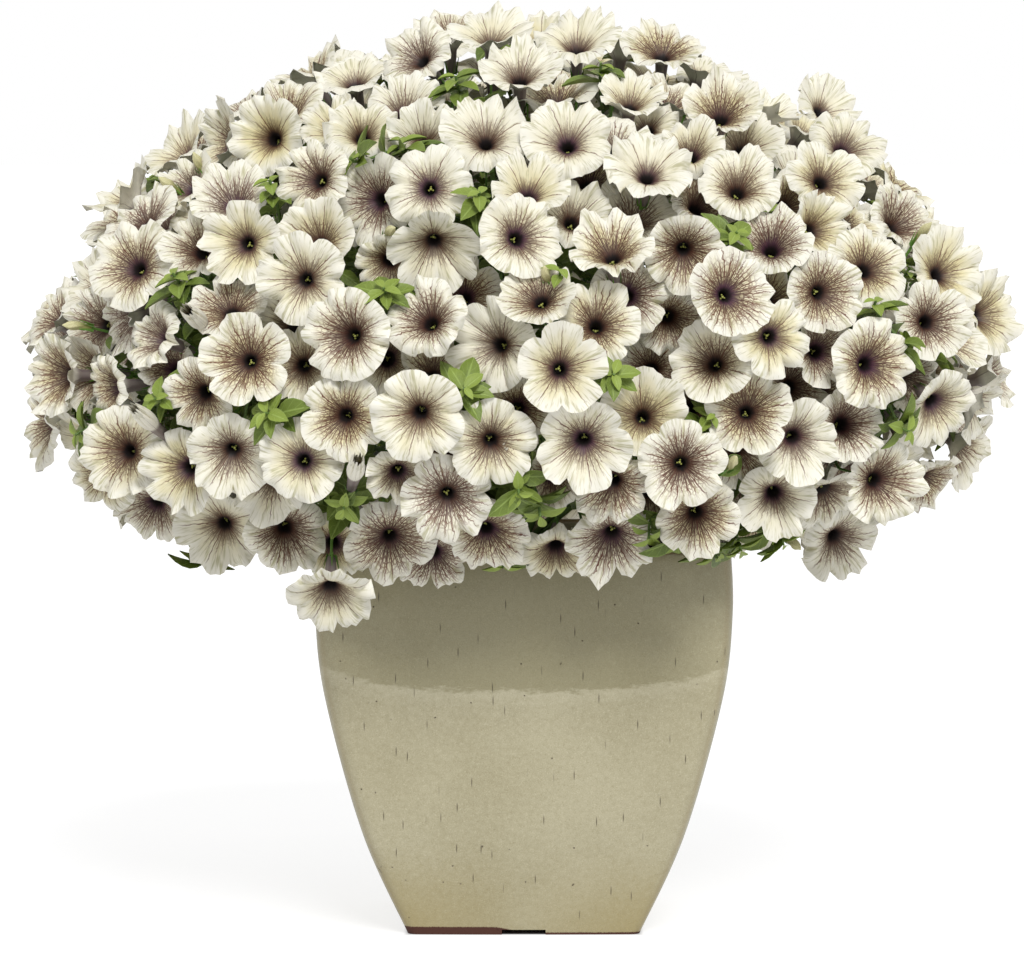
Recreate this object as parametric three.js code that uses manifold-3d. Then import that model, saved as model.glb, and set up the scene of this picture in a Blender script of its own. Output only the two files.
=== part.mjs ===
// A potted petunia: a square glazed planter, its potting soil and one mounding petunia in bloom.
// Millimetres, +Z up. The origin is the middle of the planter's underside. The front faces -Y.
import * as THREE from "three";
import { mergeVertices } from "three/addons/utils/BufferGeometryUtils.js";
import Module from "manifold-3d";

const wasm = await Module();
wasm.setup();

// Neighbouring pieces keep this gap.
const GAP = 0.3;

// The planter: half its width at a few heights, then its walls.
const POT_HEIGHT = 297;
const POT_HALF_WIDTHS = [
  [88, 0],
  [121, 79],
  [148.5, 185],
  [155.5, 250],
  [154, POT_HEIGHT],
];
const POT_LEVELS = 7;
const WIDEST_HALF = 155.5;
const POT_WALL = 12;
const POT_CORNER_RADIUS = 15;
const POT_FACE_BULGE = 2.5;
const CORNER_TURNS = [0, 30, 60, 90];
const FACE_SHARES = [0.5, 0, -0.5];
const FLOOR_TOP = 20;
const FOOT_HEIGHT = 4;
const FOOT_WIDTH = 14;
const FOOT_NOTCH_WIDTH = 33;
const FOOT_NOTCH_HEIGHT = 3.6;
const DRAIN_RADIUS = 13;
const RIM_ROUNDING = 3;
const HALVINGS = 40;
const NOTCH_OVERRUN = 10;

// The soil stands a little below the rim and higher in the middle.
const SOIL_EDGE = 275;
const SOIL_MIDDLE = 279;
const SOIL_PLATEAU = 0.55;

// The crown is a knob that the shoots start from.
const CROWN_RADIUS = 12;
const CROWN_COLUMNS = 16;
const CROWN_SHARES = [0, 0.2, 0.4, 0.6, 0.8];
const CROWN_SINK = 8;
const CROWN_CENTRE = new THREE.Vector3(0, 0, SOIL_MIDDLE + GAP + CROWN_SINK);

// The mound that the open flowers form, as an ellipse in plan with a rounded top and underside.
const MOUND = {
  centreX: -6,
  centreZ: 431,
  halfWidth: 372,
  halfDepth: 358,
  rise: 262,
  drop: 160,
  roundnessAbove: 1.75,
  roundnessBelow: 2.5,
};

// Where the photograph was taken from, and its scale, in pixels of its 1024 by 957 frame.
const EYE_DISTANCE = 4000;
const EYE_ELEVATION = THREE.MathUtils.degToRad(4);
const EYE_AIM = new THREE.Vector3(-8.9, 0, 340);
const PICTURE_MIDDLE = [512, 478.5];
const FOCAL_PIXELS = 5196;
const SEARCH_REACH = 430;
const SEARCH_STEP = 1;

// A flower: its limb, tube, calyx and stalk, with depths counted back from the rim.
const FLOWER_DIAMETER = 62;
const FLOWER_COLUMNS = 10;
const NOTCH_SHARE = 0.93;
const LIMB_THICKNESS = 1.2;
const THROAT_RADIUS = 4;
const THROAT_DEPTH = 10;
const TUBE_RADIUS = 5;
const TUBE_DEPTH = 14;
const TUBE_INNER_DEPTH = 24;
const CALYX_RADIUS = 3.4;
const CALYX_DEPTH = 40;
const STALK_RADIUS = 1;
const STALK_TOP_DEPTH = 44;
const STALK_END_DEPTH = 72;

// Stems and leaves.
const STEM_RADIUS = 2.2;
const BRANCH_RADIUS = 1.4;
const SIDE_TWIG_SHARES = [0.5, 0.68];

// How far a stem or twig keeps the direction of its two ends, as shares of its reach.
const STEM_START_PULL = 0.4;
const STEM_END_PULL = 0.3;
const STEM_END_LIFT = 0.06;
const TWIG_START_PULL = 0.3;
const TWIG_END_PULL = 0.35;

const STEM_STEPS = 8;
const BRANCH_STEPS = 5;
const LEAF_LENGTH = 30;
const LEAF_WIDTH = 15;
const LEAF_THICKNESS = 1.6;
const LEAVES_PER_TIP = 4;
const LEAF_SPREAD = THREE.MathUtils.degToRad(62);
const LEAF_STEP_BACK = 7;
const LEAF_SEAT = 0.3;
const SECTION_DIVISIONS = 3;

// A closed bud on its stalk.
const BUD_LENGTH = 24;
const BUD_RADIUS = 3;
const BUD_STALK_LENGTH = 12;
const BUD_LEAN = THREE.MathUtils.degToRad(50);
const BUD_STEP_BACK = 2;
const BUD_NECK_LENGTH = 4;
const BUD_NECK_SHARE = 0.8;
const BUD_BELLY_SHARE = 0.7;
const BUD_COLUMNS = 8;

const UP = new THREE.Vector3(0, 0, 1);

// Each shoot leaves the crown at an azimuth and elevation in degrees, and carries three flowers, the
// first at the end of its main stem. A flower seen from the front is given by the middle of its
// outline in the photograph and by how far it faces right and up, and one that hangs below the
// mound by its distance ahead of the middle as well. One on the far side is given by its azimuth on
// the mound, its height and how far it faces up.
const SHOOTS = [
  {
    azimuth: 250,
    elevation: 68,
    flowers: [
      { seen: [491, 30], right: 0, up: 0.85 },
      { seen: [577, 35], right: 0, up: 0.8 },
      { seen: [663, 47], right: 0.05, up: 0.8 },
    ],
  },
  {
    azimuth: 150,
    elevation: 68,
    flowers: [
      { seen: [231, 194], right: -0.2, up: 0.65 },
      { seen: [281, 104], right: -0.3, up: 0.75 },
      { seen: [139, 214], right: -0.5, up: 0.7 },
    ],
  },
  {
    azimuth: 352,
    elevation: 40,
    flowers: [
      { seen: [946, 270], right: 0.55, up: 0.3 },
      { seen: [870, 265], right: 0.35, up: 0.35 },
      { seen: [991, 314], right: 0.8, up: 0.1 },
    ],
  },
  {
    azimuth: 330,
    elevation: 68,
    flowers: [
      { seen: [568, 137], right: 0, up: 0.45 },
      { seen: [428, 186], right: -0.1, up: 0.15 },
      { seen: [649, 167], right: 0.1, up: 0.65 },
    ],
  },
  {
    azimuth: 195,
    elevation: 40,
    flowers: [
      { seen: [56, 375], right: -0.8, up: 0 },
      { seen: [40, 424], right: -0.9, up: -0.1 },
      { seen: [121, 451], right: -0.35, up: 0 },
    ],
  },
  {
    azimuth: 232,
    elevation: 40,
    flowers: [
      { seen: [219, 531], right: -0.2, up: -0.35 },
      { seen: [247, 360], right: -0.15, up: 0.05 },
      { seen: [330, 599], ahead: 262, right: 0, up: -0.75 },
    ],
  },
  {
    azimuth: 272,
    elevation: 40,
    flowers: [
      { seen: [447, 499], right: 0, up: -0.35 },
      { seen: [562, 369], right: 0.1, up: 0 },
      { seen: [612, 544], right: 0, up: -0.6 },
    ],
  },
  {
    azimuth: 315,
    elevation: 40,
    flowers: [
      { seen: [682, 464], right: 0.05, up: -0.05 },
      { seen: [874, 364], right: 0.4, up: 0 },
      { seen: [844, 545], ahead: 95, right: 0.45, up: -0.45 },
    ],
  },
  {
    azimuth: 30,
    elevation: 40,
    flowers: [
      { around: 28, height: 380, up: 0.1 },
      { around: 20, height: 300, up: -0.35 },
      { around: 34, height: 500, up: 0.45 },
    ],
  },
  {
    azimuth: 70,
    elevation: 40,
    flowers: [
      { around: 68, height: 400, up: 0 },
      { around: 55, height: 300, up: -0.4 },
      { around: 84, height: 500, up: 0.35 },
    ],
  },
  {
    azimuth: 112,
    elevation: 40,
    flowers: [
      { around: 112, height: 300, up: -0.35 },
      { around: 93, height: 400, up: -0.1 },
      { around: 132, height: 480, up: 0.3 },
    ],
  },
  {
    azimuth: 153,
    elevation: 40,
    flowers: [
      { around: 155, height: 370, up: 0 },
      { around: 142, height: 295, up: -0.4 },
      { around: 172, height: 330, up: -0.3 },
    ],
  },
  {
    azimuth: 60,
    elevation: 68,
    flowers: [
      { around: 75, height: 625, up: 0.8 },
      { around: 20, height: 600, up: 0.7 },
      { around: 125, height: 600, up: 0.7 },
    ],
  },
];

// The shoots that carry a bud beside their first flower, by their place in the list.
const BUD_SHOOTS = [1, 2, 4, 7];

const GLAZE = material(0xb5ad8b, 0.25);
const SOIL = material(0x3b2a1e, 0.95);
const BARK = material(0x7d8a55, 0.8);
const LEAF = material(0x4f7d31, 0.6);
const PETAL = material(0xf2f0e2, 0.55);
const BUD = material(0xa9b36a, 0.6);

function material(color, roughness) {
  return new THREE.MeshStandardMaterial({ color, roughness, metalness: 0 });
}

function named(name, geometry, finish) {
  const mesh = new THREE.Mesh(geometry, finish);
  mesh.name = name;
  return mesh;
}

// Turns a geometry into a solid that can be joined and cut.
function solidOf(geometry) {
  const bare = geometry.clone();
  bare.deleteAttribute("normal");
  bare.deleteAttribute("uv");
  const merged = mergeVertices(bare, 1e-3);
  return new wasm.Manifold(
    new wasm.Mesh({
      numProp: 3,
      vertProperties: merged.attributes.position.array,
      triVerts: new Uint32Array(merged.index.array),
    }),
  );
}

function geometryOf(solid) {
  const mesh = solid.getMesh();
  return new THREE.BufferGeometry()
    .setAttribute("position", new THREE.BufferAttribute(mesh.vertProperties, 3))
    .setIndex(new THREE.BufferAttribute(mesh.triVerts, 1));
}

// Skins a list of rings of equally many points. The last ring joins the first, or each end is
// closed by a fan round its middle.
function loft(rings, closesOnItself) {
  const count = rings[0].length;
  const points = rings.flat();
  const index = [];
  const bands = closesOnItself ? rings.length : rings.length - 1;
  for (let band = 0; band < bands; band += 1) {
    const low = band * count;
    const high = ((band + 1) % rings.length) * count;
    for (let i = 0; i < count; i += 1) {
      const next = (i + 1) % count;
      index.push(low + i, low + next, high + next);
      index.push(low + i, high + next, high + i);
    }
  }
  if (!closesOnItself) {
    const ends = [rings[0], rings[rings.length - 1]];
    ends.forEach((ring, end) => {
      const middle = new THREE.Vector3();
      ring.forEach((point) => middle.addScaledVector(point, 1 / count));
      points.push(middle);
      const hub = points.length - 1;
      const first = end * (rings.length - 1) * count;
      for (let i = 0; i < count; i += 1) {
        const next = (i + 1) % count;
        if (end === 0) {
          index.push(hub, first + next, first + i);
        } else {
          index.push(hub, first + i, first + next);
        }
      }
    });
  }
  const geometry = new THREE.BufferGeometry().setFromPoints(points);
  geometry.setIndex(index);
  return geometry;
}

const potProfile = new THREE.SplineCurve(
  POT_HALF_WIDTHS.map(([half, height]) => new THREE.Vector2(half, height)),
);

// Half the planter's outer width at a height.
function halfWidthAt(height) {
  let low = 0;
  let high = 1;
  for (let i = 0; i < HALVINGS; i += 1) {
    const middle = (low + high) / 2;
    if (potProfile.getPoint(middle).y < height) {
      low = middle;
    } else {
      high = middle;
    }
  }
  return potProfile.getPoint(low).x;
}

// One level of the square section, counter-clockwise: a round corner and a slightly full face,
// four times.
function squareRing(half, height) {
  const corner = (POT_CORNER_RADIUS * half) / WIDEST_HALF;
  const bulge = (POT_FACE_BULGE * half) / WIDEST_HALF;
  const straight = half - corner;
  const quarter = [];
  for (const turn of CORNER_TURNS) {
    const angle = THREE.MathUtils.degToRad(turn);
    quarter.push([straight + corner * Math.cos(angle), straight + corner * Math.sin(angle)]);
  }
  for (const share of FACE_SHARES) {
    quarter.push([straight * share, half + bulge * (1 - share * share)]);
  }
  const ring = [];
  for (const turn of [0, 1, 2, 3]) {
    const angle = (turn * Math.PI) / 2;
    for (const [x, y] of quarter) {
      ring.push(
        new THREE.Vector3(
          x * Math.cos(angle) - y * Math.sin(angle),
          x * Math.sin(angle) + y * Math.cos(angle),
          height,
        ),
      );
    }
  }
  return ring;
}

function roundRing(radius, height) {
  return squareRing(DRAIN_RADIUS, height).map((point) => {
    const angle = Math.atan2(point.y, point.x);
    return new THREE.Vector3(radius * Math.cos(angle), radius * Math.sin(angle), height);
  });
}

// Evenly spaced heights, which the inside of the wall and the soil share so that they never cross.
function levels(from, to, steps) {
  return Array.from({ length: steps + 1 }, (_, i) => from + ((to - from) * i) / steps);
}

function planterPot() {
  const outer = levels(0, POT_HEIGHT - RIM_ROUNDING, POT_LEVELS);
  const rings = outer.map((height) => squareRing(halfWidthAt(height), height));
  const rimHalf = halfWidthAt(POT_HEIGHT);
  rings.push(squareRing(rimHalf - RIM_ROUNDING, POT_HEIGHT));
  rings.push(squareRing(rimHalf - POT_WALL + RIM_ROUNDING, POT_HEIGHT));
  rings.push(squareRing(rimHalf - POT_WALL, POT_HEIGHT - RIM_ROUNDING));
  for (const height of levels(SOIL_EDGE, FLOOR_TOP, POT_LEVELS)) {
    rings.push(squareRing(halfWidthAt(height) - POT_WALL, height));
  }
  rings.push(roundRing(DRAIN_RADIUS, FLOOR_TOP));
  rings.push(roundRing(DRAIN_RADIUS, FOOT_HEIGHT));
  rings.push(squareRing(halfWidthAt(0) - FOOT_WIDTH, FOOT_HEIGHT));
  rings.push(squareRing(halfWidthAt(0) - FOOT_WIDTH, 0));
  const across = 2 * (POT_HALF_WIDTHS[0][0] + NOTCH_OVERRUN);
  let pot = solidOf(loft(rings, true));
  for (const [wide, deep] of [
    [FOOT_NOTCH_WIDTH, across],
    [across, FOOT_NOTCH_WIDTH],
  ]) {
    const notch = new THREE.BoxGeometry(wide, deep, 2 * FOOT_NOTCH_HEIGHT);
    pot = pot.subtract(solidOf(notch));
  }
  return named("planter_pot", geometryOf(pot), GLAZE);
}

function pottingSoil() {
  const rings = levels(FLOOR_TOP, SOIL_EDGE, POT_LEVELS).map((height, level) => {
    const lift = level === 0 ? GAP : 0;
    return squareRing(halfWidthAt(height) - POT_WALL - GAP, height + lift);
  });
  rings.push(squareRing(halfWidthAt(SOIL_EDGE) * SOIL_PLATEAU, SOIL_MIDDLE));
  return named("potting_soil", loft(rings, false), SOIL);
}

function plantCrown() {
  const profile = [new THREE.Vector2(0, -CROWN_SINK)];
  const lowest = Math.asin(-CROWN_SINK / CROWN_RADIUS);
  for (const share of CROWN_SHARES) {
    const angle = lowest + (Math.PI / 2 - lowest) * share;
    profile.push(
      new THREE.Vector2(CROWN_RADIUS * Math.cos(angle), CROWN_RADIUS * Math.sin(angle)),
    );
  }
  profile.push(new THREE.Vector2(0, CROWN_RADIUS));
  const crown = new THREE.LatheGeometry(profile, CROWN_COLUMNS);
  crown.rotateX(Math.PI / 2);
  crown.translate(CROWN_CENTRE.x, CROWN_CENTRE.y, CROWN_CENTRE.z);
  return named("plant_crown", crown, BARK);
}

// How far out a point lies on the mound: 1 on its surface, less inside.
function moundLevel(point) {
  const across = (point.x - MOUND.centreX) / MOUND.halfWidth;
  const along = point.y / MOUND.halfDepth;
  const above = point.z > MOUND.centreZ;
  const height = (point.z - MOUND.centreZ) / (above ? MOUND.rise : MOUND.drop);
  const power = above ? MOUND.roundnessAbove : MOUND.roundnessBelow;
  return Math.hypot(across, along) ** power + Math.abs(height) ** power;
}

// The eye's own axes: where it looks and which way is up in the photograph.
const LOOK = new THREE.Vector3(0, Math.cos(EYE_ELEVATION), -Math.sin(EYE_ELEVATION));
const PICTURE_UP = new THREE.Vector3(0, Math.sin(EYE_ELEVATION), Math.cos(EYE_ELEVATION));

// The point of the mound behind a pixel of the photograph, or of the upright plane through the
// plant's middle where the line of sight passes the mound by.
function moundBehind([x, y], ahead) {
  const eye = EYE_AIM.clone().addScaledVector(LOOK, -EYE_DISTANCE);
  const ray = LOOK.clone();
  ray.x += (x - PICTURE_MIDDLE[0]) / FOCAL_PIXELS;
  ray.addScaledVector(PICTURE_UP, (PICTURE_MIDDLE[1] - y) / FOCAL_PIXELS);
  const at = (depth) => eye.clone().addScaledVector(ray, depth);
  if (ahead) {
    return at((-ahead - eye.y) / ray.y);
  }
  const toMiddle = -eye.y / ray.y;
  const nearest = toMiddle - SEARCH_REACH;
  for (let depth = nearest; depth < toMiddle; depth += SEARCH_STEP) {
    if (moundLevel(at(depth)) < 1) {
      return at(depth);
    }
  }
  return at(toMiddle);
}

// The point of the mound at an azimuth and a height.
function moundAround(azimuth, height) {
  const angle = THREE.MathUtils.degToRad(azimuth);
  const above = height > MOUND.centreZ;
  const rise = Math.abs(height - MOUND.centreZ) / (above ? MOUND.rise : MOUND.drop);
  const power = above ? MOUND.roundnessAbove : MOUND.roundnessBelow;
  const reach = Math.max(0, 1 - rise ** power) ** (1 / power);
  return new THREE.Vector3(
    MOUND.centreX + MOUND.halfWidth * reach * Math.cos(angle),
    MOUND.halfDepth * reach * Math.sin(angle),
    height,
  );
}

// Where a flower's rim lies, and the way it faces.
function placeOf(flower) {
  if (flower.seen) {
    const towards = Math.sqrt(1 - flower.right ** 2 - flower.up ** 2);
    const facing = new THREE.Vector3(flower.right, 0, 0)
      .addScaledVector(PICTURE_UP, flower.up)
      .addScaledVector(LOOK, -towards);
    return { rim: moundBehind(flower.seen, flower.ahead), facing: facing.normalize() };
  }
  const angle = THREE.MathUtils.degToRad(flower.around);
  const out = Math.sqrt(1 - flower.up ** 2);
  const facing = new THREE.Vector3(Math.cos(angle) * out, Math.sin(angle) * out, flower.up);
  return { rim: moundAround(flower.around, flower.height), facing };
}

// A geometry made along +Y is laid along a direction, with its zero at a point.
function laid(geometry, along, at) {
  const turn = new THREE.Quaternion().setFromUnitVectors(new THREE.Vector3(0, 1, 0), along);
  geometry.applyQuaternion(turn);
  geometry.translate(at.x, at.y, at.z);
  return geometry;
}

function flowerGeometry({ rim, facing }) {
  const radius = FLOWER_DIAMETER / 2;
  const profile = [
    [0, -STALK_END_DEPTH],
    [STALK_RADIUS, -STALK_END_DEPTH],
    [STALK_RADIUS, -STALK_TOP_DEPTH],
    [CALYX_RADIUS, -CALYX_DEPTH],
    [TUBE_RADIUS, -TUBE_DEPTH],
    [radius, -LIMB_THICKNESS],
    [radius, 0],
    [THROAT_RADIUS, -THROAT_DEPTH],
    [0, -TUBE_INNER_DEPTH],
  ].map(([x, y]) => new THREE.Vector2(x, y));
  const flower = new THREE.LatheGeometry(profile, FLOWER_COLUMNS);
  const places = flower.attributes.position;
  const corner = new THREE.Vector3();
  for (let i = 0; i < places.count; i += 1) {
    corner.fromBufferAttribute(places, i);
    const column = Math.floor(i / profile.length);
    if (Math.hypot(corner.x, corner.z) > radius / 2 && column % 2 === 1) {
      places.setXYZ(i, corner.x * NOTCH_SHARE, corner.y, corner.z * NOTCH_SHARE);
    }
  }
  return laid(flower, facing, rim);
}

// Where leaves sit on a twig, and which way it runs there.
function tipOf(path, steps) {
  const points = path.getSpacedPoints(steps);
  const along = points[steps].clone().sub(points[steps - 1]).normalize();
  return { at: points[steps].clone().addScaledVector(along, -LEAF_STEP_BACK), along };
}

function tube(path, radius, steps) {
  const section = new THREE.Shape();
  section.absarc(0, 0, radius, 0, 2 * Math.PI);
  const curveSegments = SECTION_DIVISIONS;
  return new THREE.ExtrudeGeometry(section, { steps, extrudePath: path, curveSegments });
}

// The end of the twig that a flower's stalk sits on.
function twigEnd({ rim, facing }) {
  return rim.clone().addScaledVector(facing, -STALK_END_DEPTH - GAP);
}

function leafAt(point, along, turn) {
  const leaf = new THREE.OctahedronGeometry(0.5);
  leaf.scale(LEAF_WIDTH, LEAF_LENGTH, LEAF_THICKNESS);
  leaf.translate(0, LEAF_LENGTH / 2 + LEAF_SEAT, 0);
  leaf.rotateX(LEAF_SPREAD);
  leaf.rotateY(turn);
  return laid(leaf, along, point);
}

function mainStem(shoot) {
  const azimuth = THREE.MathUtils.degToRad(shoot.azimuth);
  const elevation = THREE.MathUtils.degToRad(shoot.elevation);
  const out = new THREE.Vector3(Math.cos(azimuth), Math.sin(azimuth), 0);
  const start = out.clone().multiplyScalar(Math.cos(elevation));
  start.addScaledVector(UP, Math.sin(elevation));
  const place = placeOf(shoot.flowers[0]);
  const end = twigEnd(place);
  const foot = CROWN_CENTRE.clone().addScaledVector(start, CROWN_RADIUS + GAP);
  const reach = foot.distanceTo(end);
  const rise = foot.clone().addScaledVector(start, STEM_START_PULL * reach);
  const fall = end.clone().addScaledVector(place.facing, -STEM_END_PULL * reach);
  fall.addScaledVector(UP, STEM_END_LIFT * reach);
  return new THREE.CubicBezierCurve3(foot, rise, fall, end);
}

// A twig that leaves the main stem part of the way along and ends under a flower.
function sideTwig(stem, share, flower) {
  const place = placeOf(flower);
  const end = twigEnd(place);
  const from = stem.getPointAt(share);
  const length = from.distanceTo(end);
  const ahead = stem.getTangentAt(share);
  const first = from.clone().addScaledVector(ahead, TWIG_START_PULL * length);
  const last = end.clone().addScaledVector(place.facing, -TWIG_END_PULL * length);
  return new THREE.CubicBezierCurve3(from, first, last, end);
}

function withLeaves(solid, path, steps, twist) {
  const tip = tipOf(path, steps);
  let leafy = solid;
  for (let leaf = 0; leaf < LEAVES_PER_TIP; leaf += 1) {
    const turn = ((leaf + twist) / LEAVES_PER_TIP) * 2 * Math.PI;
    leafy = leafy.add(solidOf(leafAt(tip.at, tip.along, turn)));
  }
  return leafy;
}

function shootSolid(shoot) {
  const stem = mainStem(shoot);
  let solid = withLeaves(solidOf(tube(stem, STEM_RADIUS, STEM_STEPS)), stem, STEM_STEPS, 0);
  SIDE_TWIG_SHARES.forEach((share, i) => {
    const twig = sideTwig(stem, share, shoot.flowers[i + 1]);
    solid = solid.add(solidOf(tube(twig, BRANCH_RADIUS, BRANCH_STEPS)));
    solid = withLeaves(solid, twig, BRANCH_STEPS, 0.5);
  });
  return solid;
}

function budGeometry(shoot) {
  const place = placeOf(shoot.flowers[0]);
  const end = twigEnd(place);
  const side = new THREE.Vector3().crossVectors(place.facing, UP).normalize();
  const lean = place.facing.clone().multiplyScalar(Math.cos(BUD_LEAN));
  lean.addScaledVector(side, Math.sin(BUD_LEAN));
  const root = end.clone().addScaledVector(place.facing, -BUD_STEP_BACK);
  root.addScaledVector(side, STEM_RADIUS + GAP + STALK_RADIUS * Math.cos(BUD_LEAN));
  const profile = [
    [0, 0],
    [STALK_RADIUS, 0],
    [STALK_RADIUS, BUD_STALK_LENGTH],
    [BUD_RADIUS * BUD_NECK_SHARE, BUD_STALK_LENGTH + BUD_NECK_LENGTH],
    [BUD_RADIUS, BUD_STALK_LENGTH + BUD_BELLY_SHARE * BUD_LENGTH],
    [0, BUD_STALK_LENGTH + BUD_LENGTH],
  ].map(([x, y]) => new THREE.Vector2(x, y));
  return laid(new THREE.LatheGeometry(profile, BUD_COLUMNS), lean, root);
}

const two = (number) => String(number).padStart(2, "0");

const plant = new THREE.Group();
plant.add(planterPot(), pottingSoil(), plantCrown());
SHOOTS.forEach((shoot, i) => {
  plant.add(named(`shoot_${two(i + 1)}`, geometryOf(shootSolid(shoot)), LEAF));
  shoot.flowers.forEach((flower, j) => {
    const number = 3 * i + j + 1;
    plant.add(named(`flower_${two(number)}`, flowerGeometry(placeOf(flower)), PETAL));
  });
});
BUD_SHOOTS.forEach((place, i) => {
  plant.add(named(`bud_${two(i + 1)}`, budGeometry(SHOOTS[place]), BUD));
});

export default plant;
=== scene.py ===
import functools
import math
import random
from dataclasses import dataclass

import bpy
import numpy as np
from bpy.props import FloatProperty, FloatVectorProperty, IntProperty, PointerProperty
from mathutils import Matrix, Vector, noise


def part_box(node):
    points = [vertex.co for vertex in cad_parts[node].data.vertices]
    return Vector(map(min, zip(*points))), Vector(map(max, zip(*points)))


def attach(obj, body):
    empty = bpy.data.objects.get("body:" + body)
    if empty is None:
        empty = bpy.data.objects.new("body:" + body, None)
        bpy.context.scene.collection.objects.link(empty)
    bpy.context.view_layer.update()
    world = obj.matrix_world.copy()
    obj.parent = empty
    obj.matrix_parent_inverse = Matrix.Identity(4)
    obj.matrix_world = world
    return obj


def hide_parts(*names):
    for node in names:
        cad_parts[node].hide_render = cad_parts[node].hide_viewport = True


bl_info = {
    "name": "Potted petunia",
    "version": (1, 0, 0),
    "blender": (4, 5, 0),
    "location": "3D View > Sidebar > Petunia",
    "description": "A mounding petunia in full bloom in a square glazed planter",
    "category": "Add Mesh",
}

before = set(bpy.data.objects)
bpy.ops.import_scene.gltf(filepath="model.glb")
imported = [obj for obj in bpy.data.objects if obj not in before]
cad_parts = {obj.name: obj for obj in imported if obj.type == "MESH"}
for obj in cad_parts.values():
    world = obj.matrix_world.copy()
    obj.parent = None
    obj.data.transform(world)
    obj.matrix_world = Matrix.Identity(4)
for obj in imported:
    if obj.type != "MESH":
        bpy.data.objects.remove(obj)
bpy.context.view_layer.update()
UP = Vector((0, 0, 1))
MM = 0.001
PLAN_SEED, LEAF_SEED, BUD_SEED, CRUMB_SEED = 11, 23, 9, 4

# The eye that the picture is seen with: metres, and pixels of a 1024 by 957 frame.
EYE_DISTANCE = 4.0
EYE_ELEVATION = math.radians(4)
EYE_AIM = Vector((-0.0089, 0.0, 0.340))
FRAME_WIDTH = 1024
FRAME_HEIGHT = 957
FOCAL_PIXELS = 5196
SENSOR_WIDTH = 36.0
LOOK = Vector((0, math.cos(EYE_ELEVATION), -math.sin(EYE_ELEVATION)))
PICTURE_UP = Vector((0, math.sin(EYE_ELEVATION), math.cos(EYE_ELEVATION)))

# The mound that the open blooms form: an ellipse in plan, round above and below its middle.
MOUND_MIDDLE = Vector((-0.006, 0.0, 0.431))
MOUND_HALF_WIDTH = 0.372
MOUND_HALF_DEPTH = 0.358
MOUND_RISE = 0.262
MOUND_DROP = 0.160
ROUNDNESS_ABOVE = 1.75
ROUNDNESS_BELOW = 2.5

# The planter: half its width and the height there, in millimetres, then its walls in metres.
HALF_WIDTHS = ((88, 0), (121, 79), (148.5, 185), (155.5, 250), (154, 297))
WIDEST_HALF = 0.1555
POT_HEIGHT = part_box("planter_pot")[1].z
SOIL_EDGE = 0.275
SOIL_GAP = 0.0003
FLOOR_TOP = 0.020
FOOT_HEIGHT = 0.004
FOOT_WIDTH = 0.014
NOTCH_HALF = 0.0165
NOTCH_HEIGHT = 0.0036
DRAIN_RADIUS = 0.013
ROUND_EDGE = 0.004
# Painted shade: the glaze above this height is darkened in place of the mound's shadow and
# reflection.
PAINTED_SHADE_LINE = 0.1905

# A bloom, in metres, with depths counted back from its rim. SHARES is how far out towards the
# rim each row of its grid lies: down the tube, up the front of the limb and back behind it.
BLOOM_RADIUS = 0.031
CALYX_DEPTH = 0.040
STALK_END = 0.072
PETAL_THICKNESS = 0.0008
SHARES = (
    0, 0, 0, 0, 0.09, 0.2, 0.34, 0.5, 0.68, 0.86, 1, 0.95, 0.78, 0.58, 0.4, 0.22, 0, 0, 0, 0, 0,
)
ROWS = len(SHARES)
FAR_ROWS = 11
SECTORS = 20
RINGS = SHARES[4:11]

# Blooms in front of this depth fill the picture. Those that only fill gaps lie lowest. Above a
# height their veins are shorter: those blooms are paler, and it paints light on the sunny top.
FRONT_TO = 0.03
LOWEST_LAYER = 3
SUNNY_FROM = 0.56

# The ranges that blooms' measures are drawn from, how much fuller than read they are made, and
# what differs in a spent one.
FULLNESS = 1.1
MEASURES = {
    "Depth": (0.011, 0.019), "Steepness": (1.2, 2.2), "Notch": (0.1, 0.28), "Wave": (0.004, 0.009),
    "Frill": (0.0026, 0.0052), "Folds": (0.0017, 0.004), "Roll": (0.0, 0.006),
    "Cup": (-0.003, 0.003), "Stigma": (0.001, 0.008), "Seed": (0, 90), "Reach": (0.5, 0.95),
    "Yellow": (0.0, 1.0),
}
SPENT = {
    "Radius": 0.011, "Depth": 0.002, "Notch": 0.25, "Wave": 0.006, "Frill": 0.003,
    "Folds": 0.004, "Roll": 0.0, "Cup": 0.03, "Yellow": 1.0,
}

# How blooms settle: each step's share of a crossing that goes into pushing the lower one in and
# the upper one out, how far they may go, and from which crossing on the lower one turns. Nothing
# comes nearer to a tube's foot than its radius.
CLEARANCE = 0.0022
TUBE_RADIUS, TUBE_FROM = 0.009, -0.022
PUSH, LIFT = 0.3, 0.08
DEEPEST, HIGHEST = -0.055, 0.007
TURN_FROM, TURN_SHARE = 0.004, 0.012

# The directions in which the shoots leave the crown: azimuth and elevation in degrees.
SHOOT_STARTS = (
    (250, 68), (150, 68), (352, 40), (330, 68), (195, 40), (232, 40), (272, 40),
    (315, 40), (30, 40), (70, 40), (112, 40), (153, 40), (60, 68),
)
SIDE_TWIG_SHARES = (0.5, 0.68)
CROWN_RADIUS = 0.012
STEM_RADII, SIDE_RADII, TWIG_RADII = (0.0024, 0.0016), (0.0016, 0.0011), (0.0014, 0.0010)
CAD_BLOOMS = 3 * len(SHOOT_STARTS)
CAD_BUDS = 4
TIP_LEAVES = 9
TIP_SPACING = 0.055
LEAF_TURN = math.radians(137.5)
LEAF_SPACING = 0.0095
LEAF_WIDTH = 0.52
LEAF_DROOP = 0.16
LEAF_FOLD = 0.55

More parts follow.
